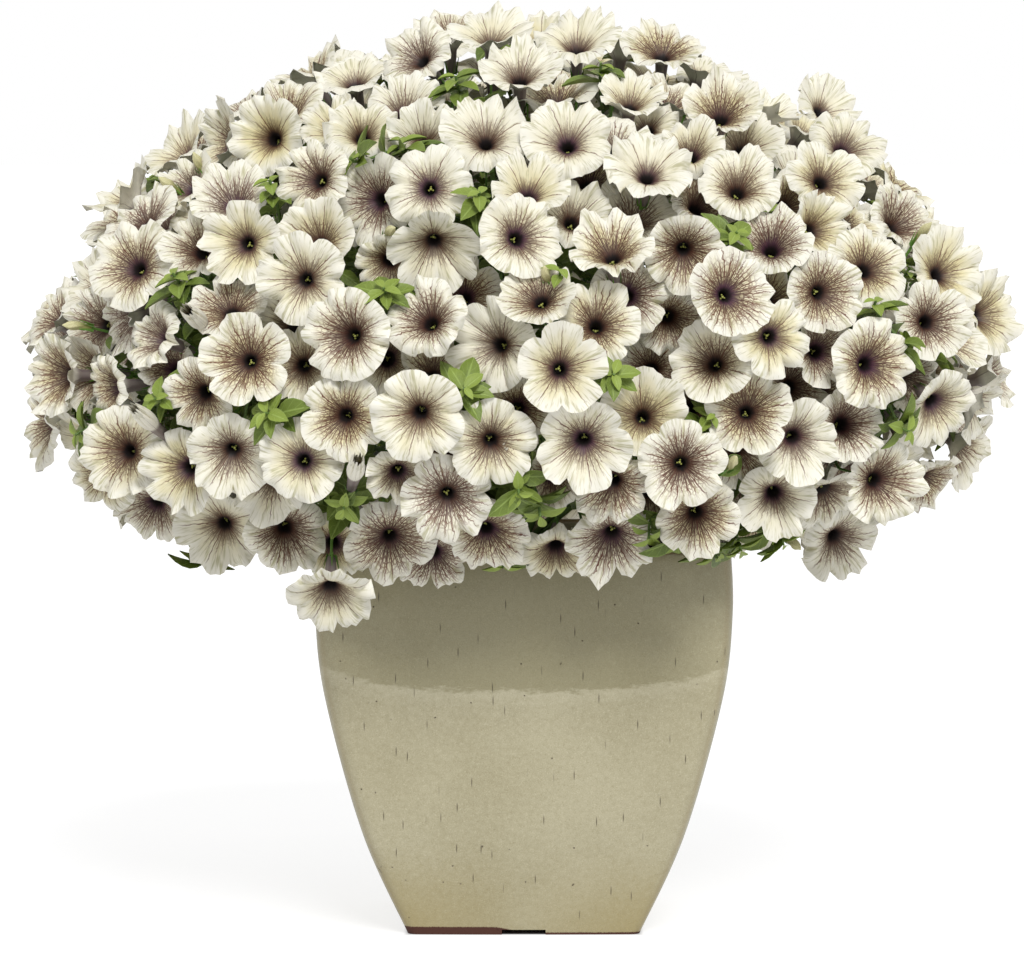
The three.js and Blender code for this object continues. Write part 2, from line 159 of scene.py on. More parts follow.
# Blooms read from the picture: middle of the outline and its width in pixels, how far it faces
# right and up, and how deep it lies under its neighbours.
FRONT_BLOOMS = (
    (520, 70, 78, 0.0, 0.7, 1), (414, 52, 74, -0.5, 0.5, 1), (632, 92, 66, 0.1, 0.75, 2),
    (334, 122, 70, -0.1, 0.6, 2), (362, 127, 72, 0.0, 0.5, 1), (404, 102, 74, 0.0, 0.65, 1),
    (424, 134, 70, 0.0, 0.5, 1), (266, 136, 76, -0.35, 0.1, 0), (216, 138, 72, -0.85, 0.2, 1),
    (184, 180, 70, -0.6, 0.5, 2), (486, 134, 88, 0.0, 0.6, 0), (648, 120, 70, 0.0, 0.7, 2),
    (722, 106, 78, 0.05, 0.65, 0), (745, 138, 76, 0.1, 0.6, 1), (692, 146, 64, 0.05, 0.6, 1),
    (530, 184, 78, 0.1, 0.6, 1), (740, 182, 78, 0.1, 0.5, 0), (704, 200, 72, 0.45, 0.45, 1),
    (848, 142, 76, 0.3, 0.5, 0), (828, 106, 68, 0.6, 0.5, 1), (826, 176, 80, 0.3, 0.4, 1),
    (313, 177, 78, -0.45, 0.2, 0), (372, 199, 88, -0.45, 0.0, 1), (241, 243, 80, -0.35, 0.0, 0),
    (314, 238, 84, -0.25, 0.3, 1), (434, 252, 92, 0.0, -0.55, 1), (385, 266, 62, -0.2, -0.3, 2),
    (522, 234, 84, 0.3, 0.2, 0), (575, 214, 72, 0.2, 0.4, 2), (636, 213, 80, 0.05, 0.62, 2),
    (611, 246, 80, -0.1, 0.7, 0), (685, 254, 78, 0.05, -0.3, 1), (773, 240, 80, 0.05, 0.5, 0),
    (822, 226, 70, 0.6, 0.2, 0), (903, 218, 74, 0.5, 0.3, 2), (932, 320, 78, 0.35, 0.1, 0),
    (943, 411, 82, 0.5, -0.5, 0), (130, 264, 88, -0.4, 0.25, 0), (195, 246, 70, -0.3, 0.3, 2),
    (301, 279, 88, -0.25, 0.0, 0), (228, 303, 78, -0.15, 0.6, 1), (122, 318, 66, -0.85, -0.4, 1),
    (93, 325, 74, -0.7, 0.1, 2), (150, 334, 70, -0.75, 0.35, 1), (84, 375, 74, -0.75, 0.0, 1),
    (105, 388, 66, -0.9, -0.1, 0), (166, 366, 60, -0.4, 0.2, 2), (301, 365, 78, -0.1, 0.0, 2),
    (345, 335, 86, -0.35, 0.0, 0), (425, 316, 80, -0.25, 0.35, 0), (466, 292, 76, 0.1, 0.35, 1),
    (538, 294, 76, -0.2, 0.5, 1), (631, 294, 78, 0.25, 0.0, 2), (598, 322, 86, 0.1, 0.3, 1),
    (494, 345, 92, -0.5, -0.1, 1), (672, 322, 70, 0.2, -0.4, 2), (652, 371, 70, 0.1, -0.2, 2),
    (731, 292, 84, 0.35, 0.15, 0), (825, 292, 80, 0.4, 0.0, 1), (775, 336, 84, 0.3, 0.0, 0),
    (712, 360, 82, -0.3, 0.2, 0), (824, 350, 74, 0.3, 0.1, 2), (796, 386, 70, 0.4, 0.0, 2),
    (826, 394, 72, 0.4, 0.1, 2), (431, 371, 72, 0.0, 0.5, 2), (694, 404, 66, 0.0, 0.1, 2),
    (342, 417, 84, -0.2, -0.1, 1), (418, 416, 88, -0.1, -0.2, 0), (492, 444, 90, 0.1, -0.25, 0),
    (518, 412, 74, 0.1, -0.2, 2), (584, 446, 92, 0.0, -0.3, 0), (645, 414, 84, 0.1, 0.2, 1),
    (748, 411, 86, 0.1, 0.1, 0), (798, 440, 82, 0.25, -0.2, 1), (850, 424, 78, 0.35, 0.0, 1),
    (198, 396, 74, -0.4, -0.25, 1), (181, 471, 84, -0.45, -0.2, 1), (230, 457, 84, -0.1, -0.4, 0),
    (102, 478, 78, -0.35, -0.45, 1), (152, 510, 70, -0.3, -0.6, 2), (300, 461, 86, -0.2, -0.05, 0),
    (286, 535, 80, 0.1, -0.35, 1), (332, 548, 72, 0.0, -0.4, 2), (399, 478, 66, 0.1, -0.5, 2),
    (391, 544, 88, 0.1, -0.45, 0), (433, 560, 76, 0.0, -0.55, 1), (488, 537, 76, 0.1, -0.5, 1),
    (553, 480, 66, 0.1, -0.35, 2), (611, 486, 78, -0.2, -0.4, 1), (556, 560, 76, 0.0, -0.65, 0),
    (698, 518, 82, 0.1, -0.3, 1), (776, 500, 78, 0.1, -0.4, 1), (884, 483, 84, 0.4, -0.15, 0),
)

# Spent, rolled blooms: place in the picture, and how far each faces right and up.
SPENT_BLOOMS = (
    (355, 473, 0.1, 0.3), (500, 490, 0.2, 0.3), (151, 423, -0.3, 0.3), (201, 322, -0.2, 0.2),
)

# Leafy tips that reach the surface between blooms, and furled buds, as seen in the picture.
LEAFY_TIPS = (
    (456, 81), (600, 68), (176, 276), (735, 235), (560, 272), (465, 388), (80, 433), (158, 398),
    (345, 505), (519, 490), (905, 345), (740, 546), (716, 553), (782, 540), (672, 536), (205, 560),
    (480, 196), (503, 562), (905, 430), (385, 290), (404, 141), (272, 184), (268, 412), (352, 162),
    (872, 303), (613, 374), (648, 534), (946, 354), (540, 512),
)
BUDS = (
    (70, 323, -0.9, 0.2), (194, 159, -0.5, 0.7), (166, 180, -0.6, 0.6), (925, 226, 0.5, 0.8),
    (798, 544, 0.6, -0.3), (543, 272, -0.3, 0.5), (735, 462, 0.3, 0.3), (390, 228, 0.2, 0.3),
)


# Node trees


def feed(tree, socket, value):
    """Gives a socket a value, or a link from another socket."""
    if isinstance(value, Field):
        value = value.socket
    if isinstance(value, bpy.types.NodeSocket):
        tree.links.new(value, socket)
    else:
        socket.default_value = value


def add(tree, kind, inputs=None, **settings):
    """Adds a node with its settings and inputs."""
    node = tree.nodes.new(kind)
    for name, value in settings.items():
        setattr(node, name, value)
    for key, value in (inputs or {}).items():
        feed(tree, node.inputs[key], value)
    return node


class Field:
    """A number that varies over a shape. Arithmetic on it adds nodes to its tree."""

    def __init__(self, tree, socket):
        self.tree = tree
        self.socket = socket

    def maths(self, operation, *others):
        inputs = dict(enumerate((self, *others)))
        node = add(self.tree, "ShaderNodeMath", inputs, operation=operation)
        return Field(self.tree, node.outputs[0])

    def __add__(self, other):
        return self.maths("ADD", other)

    def __sub__(self, other):
        return self.maths("SUBTRACT", other)

    def __rsub__(self, other):
        return self * -1.0 + other

    def __mul__(self, other):
        return self.maths("MULTIPLY", other)

    def __truediv__(self, other):
        return self.maths("DIVIDE", other)

    def __pow__(self, other):
        return self.maths("POWER", other)

    __radd__ = __add__
    __rmul__ = __mul__

    def ramp(self, low, high, first=0.0, last=1.0):
        """Goes smoothly from first to last while the value goes from low to high."""
        inputs = {0: self, 1: low, 2: high, 3: first, 4: last}
        node = add(self.tree, "ShaderNodeMapRange", inputs, interpolation_type="SMOOTHSTEP")
        return Field(self.tree, node.outputs[0])

    def through(self, values):
        """Straight steps through evenly spaced values while the field goes from 0 to 1."""
        low, high = min(values), max(values)
        node = add(self.tree, "ShaderNodeFloatCurve", {"Value": self})
        curve = node.mapping.curves[0]
        last = len(values) - 1
        places = [(i / last, (value - low) / (high - low)) for i, value in enumerate(values)]
        curve.points[0].location, curve.points[1].location = places[0], places[-1]
        for place in places[1:-1]:
            curve.points.new(*place)
        for point in curve.points:
            point.handle_type = "VECTOR"
        node.mapping.update()
        return Field(self.tree, node.outputs[0]) * (high - low) + low


def vector(tree, x, y, z):
    return add(tree, "ShaderNodeCombineXYZ", {0: x, 1: y, 2: z}).outputs[0]


def split(tree, value):
    node = add(tree, "ShaderNodeSeparateXYZ", {0: value})
    return [Field(tree, socket) for socket in node.outputs]


def clouds(tree, place, scale, detail=2.0, roughness=0.5):
    """Soft noise round 0, at most about half either way."""
    inputs = {"Vector": place, "Scale": scale, "Detail": detail, "Roughness": roughness}
    return Field(tree, add(tree, "ShaderNodeTexNoise", inputs).outputs[0]) - 0.5


def cells(tree, place, scale, **settings):
    return add(tree, "ShaderNodeTexVoronoi", {"Vector": place, "Scale": scale}, **settings)


def blend(tree, factor, first, second):
    """Goes from the first colour to the second as the factor goes from 0 to 1."""
    inputs = {0: factor, 6: colour(first), 7: colour(second)}
    return add(tree, "ShaderNodeMix", inputs, data_type="RGBA").outputs[2]


def layers(tree, base, *coats):
    """Lays coats over a colour, each one a factor and its own colour."""
    for factor, coat in coats:
        base = blend(tree, factor, base, coat)
    return base


def attribute(tree, name):
    """The vector that a mesh carries under a name, split in three."""
    return split(tree, add(tree, "ShaderNodeAttribute", attribute_name=name).outputs["Vector"])


def object_place(tree):
    """Where a point lies on its own piece."""
    return tree.nodes.new("ShaderNodeTexCoord").outputs["Object"]


def group(name, inputs, outputs):
    """A shader group with number inputs, and a vector called Place if it asks for one."""
    tree = bpy.data.node_groups.new(name, "ShaderNodeTree")
    for labels, way in ((inputs, "INPUT"), (outputs, "OUTPUT")):
        for label in labels:
            kind = "NodeSocketVector" if label == "Place" else "NodeSocketFloat"
            tree.interface.new_socket(label, in_out=way, socket_type=kind)
    start = tree.nodes.new("NodeGroupInput")
    fields = [Field(tree, start.outputs[label]) for label in inputs]
    return tree, fields, tree.nodes.new("NodeGroupOutput")


def placed(tree, inner, *values):
    """Places a group in a material with its inputs in order, and gives its outputs by name."""
    node = add(tree, "ShaderNodeGroup", node_tree=inner)
    for socket, value in zip(node.inputs, values):
        feed(tree, socket, value)
    return {socket.name: Field(tree, socket) for socket in node.outputs}


def finish(name, roughness):
    """A new material. Gives it with its tree and its main shader."""
    made = bpy.data.materials.new(name)
    made.use_nodes = True
    tree = made.node_tree
    tree.nodes.clear()
    shader = add(tree, "ShaderNodeBsdfPrincipled", {"Roughness": roughness})
    output = tree.nodes.new("ShaderNodeOutputMaterial")
    tree.links.new(shader.outputs[0], output.inputs["Surface"])
    return made, tree, shader


def colour(value):
    """A hex string or a property's colour as a socket takes it. A socket stays as it is."""
    if isinstance(value, bpy.types.NodeSocket):
        return value
    if isinstance(value, str):
        parts = [int(value[i : i + 2], 16) / 255 for i in (1, 3, 5)]
        low, bend = 0.04045, 2.4
        value = [p / 12.92 if p <= low else ((p + 0.055) / 1.055) ** bend for p in parts]
    return (*value[:3], 1.0)


def painted(tree, shader, base, height=None, distance=0.0):
    """Gives a shader its colour and, if it has one, the height of its small bumps."""
    feed(tree, shader.inputs["Base Color"], base)
    if height:
        bump = add(tree, "ShaderNodeBump", {"Height": height, "Distance": distance})
        tree.links.new(bump.outputs[0], shader.inputs["Normal"])


# Finishes


@functools.cache
def mottle_group():
    """Soft blotches and fine grain together, round 0."""
    tree, given, end = group("Mottle", ("Place", "Blotches", "Grain"), ("Mottle",))
    place, blotches, grain = given
    soft = clouds(tree, place, blotches, 3.0)
    feed(tree, end.inputs["Mottle"], soft + clouds(tree, place, grain, 2.0, 0.6) * 0.6)
    return tree


def mottled(tree, blotches, grain):
    """Where a point lies on its piece, and the mottle there."""
    place = object_place(tree)
    return place, placed(tree, mottle_group(), place, blotches, grain)["Mottle"]


def petal_noise(tree, across, aside, scale, last, *settings):
    """Noise over a limb, fine or coarse round it, without a seam from the throat out."""
    return clouds(tree, vector(tree, across * scale, aside * scale, last), *settings)


@functools.cache
def vein_group():
    """Veins that fan out from a throat: a network, five midribs and the dark throat itself."""
    inputs = ("Across", "Aside", "Along", "Seed", "Reach")
    tree, given, end = group("Veins", inputs, ("Network", "Midribs", "Throat"))
    across, aside, along, seed, reach = given
    angle = aside.maths("ARCTAN2", across)
    wobble = petal_noise(tree, across, aside, 3.0, along * 6.0 + seed, 1.0, 3.0)
    radius = along.maths("MAXIMUM", -0.1) * 27.0 + 4.0

    def rays(count, half_width, shortest, longest):
        """Lines out from the throat, their width in millimetres and their lengths as shares."""
        turn = angle * (count / (2 * math.pi)) + wobble * 1.1
        nearest = turn.maths("ROUND")
        off = (turn - nearest).maths("ABSOLUTE") * radius * (2 * math.pi / count)
        which = {"W": nearest.maths("FLOORED_MODULO", count) + seed}
        own = add(tree, "ShaderNodeTexWhiteNoise", which, noise_dimensions="1D").outputs["Value"]
        last = reach * (Field(tree, own) * (longest - shortest) + shortest)
        line = 1.0 - off.ramp(half_width * 0.4, half_width * 1.5)
        return line * (1.0 - (along / last).ramp(0.6, 1.1))

    place = vector(tree, across * 7.0, aside * 7.0, along * 8.0 + seed + wobble * 0.5)
    mesh = cells(tree, place, 1.0, feature="DISTANCE_TO_EDGE")
    gap = Field(tree, mesh.outputs["Distance"])
    patchy = petal_noise(tree, across, aside, 2.0, seed + along, 2.0, 3.0)
    edge = (along + patchy * 0.3) / reach
    net = (1.0 - gap.ramp(0.05, 0.17)) * (1.0 - edge.ramp(0.35, 1.0)) * 0.85
    network = rays(30.0, 0.34, 0.75, 1.3).maths("MAXIMUM", rays(70.0, 0.3, 0.45, 1.05) * 0.9)
    off_rib = (angle * 2.5 + wobble * 0.25).maths("SINE").maths("ABSOLUTE") * radius * 0.4
    midribs = (1.0 - off_rib.ramp(0.12, 0.5)) * (1.0 - along.ramp(0.6, 0.98))
    throat = 1.0 - (along + patchy * 0.1 + wobble * 0.1).ramp(-0.02, 0.12)
    for label, value in (
        ("Network", network.maths("MAXIMUM", net)), ("Midribs", midribs), ("Throat", throat),
    ):
        feed(tree, end.inputs[label], value)
    return tree


@functools.cache
def petal_finish():
    """Cream petal: pale margin, yellower middle, painted wrinkle shade, brown-purple veins,
    near-black throat.
    """
    tint = bpy.context.scene.petunia_blooms
    made, tree, shader = finish("velvety petal", 0.6)
    across, aside, along = attribute(tree, "petal")
    back = attribute(tree, "side")[0]
    reach, yellow, seed = attribute(tree, "bloom")
    veins = placed(tree, vein_group(), across, aside, along, seed, reach)
    network, midribs = veins["Network"], veins["Midribs"]
    patches = petal_noise(tree, across, aside, 1.5, along * 2.0 + seed, 1.5, 3.0)
    ridge_shade = petal_noise(tree, across, aside, 13.0, along * 2.0 + seed, 1.0, 2.0)
    crease_shade = petal_noise(tree, across, aside, 26.0, along * 3.5 + seed, 1.0, 1.0)
    vein = blend(tree, along.ramp(0.1, 0.6), "#350d12", "#612c14")
    halo = (1.0 - (along + patches * 0.25).ramp(0.02, 0.27)) * 0.9
    violet = (seed * 0.37).maths("FRACT").ramp(0.45, 0.9)
    front = layers(
        tree,
        colour(tint.margin),
        ((1.0 - (along + patches * 0.6).ramp(0.3, 0.95)) * (yellow * 0.6 + 0.3), tint.middle),
        # Painted shade of fine radial wrinkles and creases, in grey-green streaks.
        (ridge_shade.ramp(0.0, 0.22) * along.ramp(0.15, 0.6, 0.1, 0.75), "#aaa67c"),
        (crease_shade.ramp(0.05, 0.25) * along.ramp(0.3, 0.8, 0.1, 0.45), "#a39f70"),
        ((1.0 - (along + patches * 0.3).ramp(0.04, 0.45)) * 0.6, tint.inner),
        (network * reach.ramp(0.4, 0.8, 0.7, 1.0), vein),
        (midribs * 0.85, "#5f3324"),
        (halo * (network * 0.4 + 0.6), blend(tree, violet, tint.halo, tint.violet)),
        (veins["Throat"], tint.throat),
    )
    stripe = (network * 0.4 + patches * 0.3 + 0.45).maths("MINIMUM", 1.0)
    behind = layers(
        tree,
        colour(tint.back),
        (midribs * 0.5 + network * 0.14, "#77606a"),
        ((1.0 - along.ramp(-0.05, 0.28)) * 0.85, blend(tree, stripe, "#a39b7c", "#5b4752")),
    )
    painted(tree, shader, blend(tree, back, front, behind))
    return made


@functools.cache
def green_finish(name, roughness, dark, light, tip):
    """Hairy green tissue, mottled from dark to light, and brighter where the mesh says so."""
    made, tree, shader = finish(name, roughness)
    _, mottle = mottled(tree, 45.0, 900.0)
    young = attribute(tree, "young")[0]
    side, along, _ = attribute(tree, "blade")
    off = side.maths("ABSOLUTE")
    rib = 1.0 - off.ramp(0.02, 0.16)
    slant = (along * 26.0 - off * 9.0).maths("SINE").ramp(0.86, 1.0)
    veins = (rib * along.ramp(0.0, 0.1) * 0.5).maths("MAXIMUM", slant * rib.ramp(1.0, 0.0) * 0.18)
    base = layers(
        tree,
        colour(dark),
        ((mottle * 0.9 + 0.35 + young * 0.3).ramp(0.0, 1.0), light),
        (young, tip),
        (veins.maths("MAXIMUM", off.ramp(0.86, 1.0) * 0.35), "#a9c069"),
    )
    painted(tree, shader, base, mottle - veins * 0.5, 0.0006)
    return made


def leaf_finish():
    tint = bpy.context.scene.petunia_foliage
    shades = (tuple(shade) for shade in (tint.dark, tint.light, tint.tip))
    return green_finish("hairy leaf", 0.5, *shades)


def stem_finish():
    return green_finish("hairy stem", 0.6, "#46602c", "#7f9a4c", "#8fb04f")


def calyx_finish():
    return green_finish("calyx", 0.6, "#4d7a2c", "#86ab4a", "#8fb552")


@functools.cache
def pollen_finish():
    made, tree, shader = finish("stigma and anthers", 0.5)
    grain = clouds(tree, object_place(tree), 1500.0) + 0.5
    painted(tree, shader, blend(tree, grain, "#77803a", "#b5b45e"))
    return made


@functools.cache
def bud_finish():
    """Furled petal: yellow-green, streaked brown along its twist."""
    made, tree, shader = finish("furled petal", 0.55)
    petal = attribute(tree, "petal")
    reach, _, seed = attribute(tree, "bloom")
    veins = placed(tree, vein_group(), *petal, seed, reach)
    base = blend(tree, petal[2].ramp(0.1, 0.8), "#8ea045", "#d9d6a4")
    painted(tree, shader, blend(tree, veins["Network"] * 0.5, base, "#7a5244"))
    return made


@functools.cache
def glaze_finish():
    """Glossy sage-beige glaze: mottled, pinholed, streaked, browner at corners and foot, painted
    shade above.
    """
    tint = bpy.context.scene.petunia_planter
    made, tree, shader = finish("glossy glaze", 0.2)
    place, mottle = mottled(tree, 9.0, 260.0)
    x, y, z = split(tree, place)
    speck = clouds(tree, place, 1100.0, 2.0, 0.7)
    wide_x, wide_y = x.maths("ABSOLUTE"), y.maths("ABSOLUTE")
    sides = wide_x.maths("MINIMUM", wide_y) / wide_x.maths("MAXIMUM", wide_y)
    wisps = clouds(tree, vector(tree, x * 0.5, y * 0.5, z * 1.6), 150.0, 3.0, 0.75)
    # Painted shade: above this wavy line, higher at the corners, the glaze is darkened in place of
    # the overhanging mound's shadow and reflection.
    line = z - (sides ** 4.0) * 0.018 + wisps * 0.016 + mottle * 0.008
    coat = line.ramp(PAINTED_SHADE_LINE, PAINTED_SHADE_LINE + 0.005)
    # Each face has its own flat run of coordinates, so that marks keep their size on it.
    front = wide_y.maths("GREATER_THAN", wide_x)
    run = front * x + (1.0 - front) * y + front * 3.0 + (x + y).maths("SIGN") * 7.0
    drift = clouds(tree, place, 25.0, 1.0)
    flat = {"feature": "F1", "voronoi_dimensions": "2D"}
    streak = cells(tree, vector(tree, run + drift * 0.001, z * 0.1, 0.0), 105.0, **flat)
    chosen = split(tree, streak.outputs["Color"])[0].ramp(0.15, 0.6)
    off_streak = Field(tree, streak.outputs["Distance"]) + speck * 0.02
    streaks = (1.0 - off_streak.ramp(0.01, 0.055)) * chosen * 0.8
    pit = cells(tree, vector(tree, run + drift * 0.015, z + drift * 0.02, 0.0), 70.0, **flat)
    rare = split(tree, pit.outputs["Color"])[1].ramp(0.8, 1.0)
    off_pit = Field(tree, pit.outputs["Distance"]) + speck * 0.05
    marks = streaks.maths("MAXIMUM", (1.0 - off_pit.ramp(0.02, 0.06)) * rare)
    # The foot is bare on the left of the front, where its edge shows the clay.
    bare = (z - x.ramp(-0.025, 0.005, 0.0045, 0.0) + speck * 0.002).ramp(0.0022, 0.0014)
    rim = (z + speck * 0.004).ramp(POT_HEIGHT - 0.004, POT_HEIGHT - 0.001)
    base = layers(
        tree,
        colour(tint.shade),
        ((mottle + 0.5).ramp(0.1, 0.9), tint.glaze),
        (speck.ramp(0.03, 0.25) * 0.5, "#857b57"),
        (speck.ramp(-0.25, -0.03, 0.5, 0.0), "#d3ccae"),
        # Painted shade of the mound: darker glaze above the line, weaker at the corners.
        (coat * (0.52 - (sides ** 3.0) * 0.3), tint.second),
        # Painted highlight: a pale strip just under the line, where the gloss reflects the bright
        # floor.
        (line.ramp(0.178, 0.192) * (1.0 - coat) * 0.2, "#cfc9b0"),
        ((sides + mottle * 0.03).ramp(0.955, 1.0) * 0.2, "#8c7444"),
        ((z + mottle * 0.03).ramp(0.085, 0.0) * (sides * 0.45 + 0.15), "#a08e55"),
        (marks * 0.9, "#43341f"),
        (bare, "#4d2a1e"),
        (rim * 0.6, "#7b5a34"),
    )
    painted(tree, shader, base, mottle * 0.6 + speck * 0.3 - marks * 1.2, 0.0004)
    feed(tree, shader.inputs["Roughness"], mottle * 0.12 + marks * 0.4 + bare * 0.6 + 0.2)
    return made


@functools.cache
def earth_finish(name, roughness, dark, light, blotches, grain, distance):
    """Rough mottled stuff: clay, soil, grit or bark."""
    made, tree, shader = finish(name, roughness)
    _, mottle = mottled(tree, blotches, grain)
    base = blend(tree, (mottle + 0.5).ramp(0.1, 0.9), dark, light)
    painted(tree, shader, base, mottle, distance)
    return made


def clay_finish():
    clay = tuple(bpy.context.scene.petunia_planter.clay)
    return earth_finish("bare clay", 0.85, "#43261b", clay, 30.0, 1200.0, 0.0008)


def soil_finish():
    return earth_finish("peaty soil", 0.95, "#1c130d", "#4c3828", 60.0, 500.0, 0.002)


def grit_finish():
    return earth_finish("pale grit", 0.95, "#a59c8c", "#ddd8cb", 60.0, 500.0, 0.002)


def bark_finish():
    return earth_finish("stem base bark", 0.95, "#4a4326", "#8a8454", 60.0, 500.0, 0.002)


# Pieces


def keep(piece, slot, *stands_for):
    """Hands a finished piece over: it rides on the frame's one body."""
    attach(piece, "root")
    if stands_for:
        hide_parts(*stands_for)


def piece_of(name, mesh):
    made = bpy.data.objects.new(name, mesh)
    bpy.context.scene.collection.objects.link(made)
    return made


def mesh_of(name, points, faces, *materials):
    """A smooth mesh from points and faces."""
    mesh = bpy.data.meshes.new(name)
    mesh.from_pydata([tuple(point) for point in points], [], faces)
    for material in materials:
        mesh.materials.append(material)
    mesh.polygons.foreach_set("use_smooth", [True] * len(mesh.polygons))
    mesh.update()
    return mesh


def skin(rings, closed_on_itself):
    """Points and faces over rings of equally many points, with ends closed or joined."""
    count = len(rings[0])
    points = [point for ring in rings for point in ring]
    around = [(i, (i + 1) % count) for i in range(count)]
    faces = []
    for band in range(len(rings) if closed_on_itself else len(rings) - 1):
        low, high = band * count, (band + 1) % len(rings) * count
        faces.extend((low + i, low + after, high + after, high + i) for i, after in around)
    if not closed_on_itself:
        hub, last = len(points), (len(rings) - 1) * count
        points.extend(tuple(np.mean(ring, axis=0)) for ring in (rings[0], rings[-1]))
        faces.extend((hub, after, i) for i, after in around)
        faces.extend((hub + 1, last + i, last + after) for i, after in around)
    return points, faces


def growth(name, inputs):
    """A geometry tree with named inputs. Gives the tree, its inputs and its geometry."""
    tree = bpy.data.node_groups.new(name, "GeometryNodeTree")
    tree.interface.new_socket("Geometry", in_out="INPUT", socket_type="NodeSocketGeometry")
    for label, default in inputs.items():
        kind = "NodeSocketInt" if isinstance(default, int) else "NodeSocketFloat"
        tree.interface.new_socket(label, in_out="INPUT", socket_type=kind).default_value = default
    tree.interface.new_socket("Geometry", in_out="OUTPUT", socket_type="NodeSocketGeometry")
    start = tree.nodes.new("NodeGroupInput")
    fields = {label: Field(tree, start.outputs[label]) for label in inputs}
    return tree, fields, start.outputs["Geometry"]


def end_growth(tree, geometry):
    whole = add(tree, "GeometryNodeRealizeInstances", {"Geometry": geometry}).outputs[0]
    end = tree.nodes.new("NodeGroupOutput")
    tree.links.new(whole, end.inputs["Geometry"])


def grid(tree, columns, rows):
    """A flat grid with its two running shares, to be wrapped into a shape."""
    inputs = {"Size X": 1.0, "Size Y": 1.0, "Vertices X": columns, "Vertices Y": rows}
    node = add(tree, "GeometryNodeMeshGrid", inputs)
    u, v, _ = split(tree, node.outputs["UV Map"])
    return node.outputs["Mesh"], u, v


def stored(tree, geometry, name, value, data_type="FLOAT_VECTOR"):
    inputs = {"Geometry": geometry, "Name": name, "Value": value}
    return add(tree, "GeometryNodeStoreNamedAttribute", inputs, data_type=data_type).outputs[0]


def wrapped(tree, geometry, position):
    """Moves the grid's points to their places and closes its seam and poles."""
    moved = add(tree, "GeometryNodeSetPosition", {"Geometry": geometry, "Position": position})
    merge = {"Geometry": moved.outputs[0], "Distance": 0.00001}
    return add(tree, "GeometryNodeMergeByDistance", merge).outputs[0]


def coloured(tree, geometry, material):
    inputs = {"Geometry": geometry, "Material": material}
    return add(tree, "GeometryNodeSetMaterial", inputs).outputs[0]


def shaded(tree, geometry, crease):
    """Smooth shading that keeps edges sharper than the crease angle."""
    whole = add(tree, "GeometryNodeSetShadeSmooth", {"Geometry": geometry}).outputs[0]
    angle = Field(tree, tree.nodes.new("GeometryNodeInputMeshEdgeAngle").outputs[0])
    gentle = angle.maths("LESS_THAN", crease)
    inputs = {"Geometry": whole, "Shade Smooth": gentle}
    return add(tree, "GeometryNodeSetShadeSmooth", inputs, domain="EDGE").outputs[0]


def together(tree, *parts):
    join = tree.nodes.new("GeometryNodeJoinGeometry")
    for part in parts:
        tree.links.new(part, join.inputs[0])
    return join.outputs[0]


def turned(tree, geometry, move=(0, 0, 0), turn=(0, 0, 0), scale=(1, 1, 1)):
    inputs = {"Geometry": geometry, "Translation": move, "Rotation": turn, "Scale": scale}
    return add(tree, "GeometryNodeTransform", inputs).outputs[0]


def cone(tree, sides, top, bottom, length, *placing):
    inputs = {"Vertices": sides, "Radius Top": top, "Radius Bottom": bottom, "Depth": length}
    return turned(tree, add(tree, "GeometryNodeMeshCone", inputs).outputs[0], *placing)


def ball(tree, radius):
    inputs = {"Radius": radius, "Subdivisions": 1}
    return add(tree, "GeometryNodeMeshIcoSphere", inputs).outputs[0]


def seedling(name, tree, values, carrier=None):
    """An object that carries a tree, with its inputs set before anything is worked out."""
    mesh = carrier or bpy.data.meshes.new(name)
    made = piece_of(name, mesh)
    modifier = made.modifiers.new("growth", "NODES")
    modifier.node_group = tree
    for item in tree.interface.items_tree:
        if item.in_out == "INPUT" and item.name in values:
            modifier[item.identifier] = values[item.name]
    return made


def harvest(pieces, places=None):
    """Turns each carrier's growth into its own plain mesh, laid where it belongs."""
    graph = bpy.context.evaluated_depsgraph_get()
    made = [
        bpy.data.meshes.new_from_object(piece.evaluated_get(graph), depsgraph=graph)
        for piece in pieces
    ]
    for i, (piece, mesh) in enumerate(zip(pieces, made)):
        piece.modifiers.clear()
        piece.data = mesh
        if places:
            mesh.transform(places[i])
        mesh.update()


# The plan


@dataclass
class Bloom:
    """One open bloom: its rim's centre, the way it faces and its measures, in metres."""

    rim: Vector
    facing: Vector
    outward: Vector
    layer: int = 0
    stands_for: str = ""
    read: bool = False
    spin: float = 0.0
    measures: dict = None
    limb: np.ndarray = None


@dataclass
class Twig:
    """A stem or twig as a row of points, with its radius at both ends."""

    points: np.ndarray
    shoot: int
    first_radius: float
    last_radius: float
    leafy_from: float
    tip: float = 0.0


def mound_level(point):
    """How far out a point lies on the mound: 1 on its surface, less inside."""
    off = point - MOUND_MIDDLE
    above = off.z > 0
    power = ROUNDNESS_ABOVE if above else ROUNDNESS_BELOW
    height = abs(off.z) / (MOUND_RISE if above else MOUND_DROP)
    flat = math.hypot(off.x / MOUND_HALF_WIDTH, off.y / MOUND_HALF_DEPTH)
    return flat**power + height**power


def mound_normal(point):
    steps = Matrix.Identity(3) * 0.002
    slopes = [mound_level(point + step) - mound_level(point - step) for step in steps]
    return Vector(slopes).normalized()


def sight(x, y):
    """The eye and the line of sight through a pixel."""
    eye = EYE_AIM - LOOK * EYE_DISTANCE
    ray = LOOK + Vector(((x - FRAME_WIDTH / 2) / FOCAL_PIXELS, 0, 0))
    return eye, ray + PICTURE_UP * ((FRAME_HEIGHT / 2 - y) / FOCAL_PIXELS)


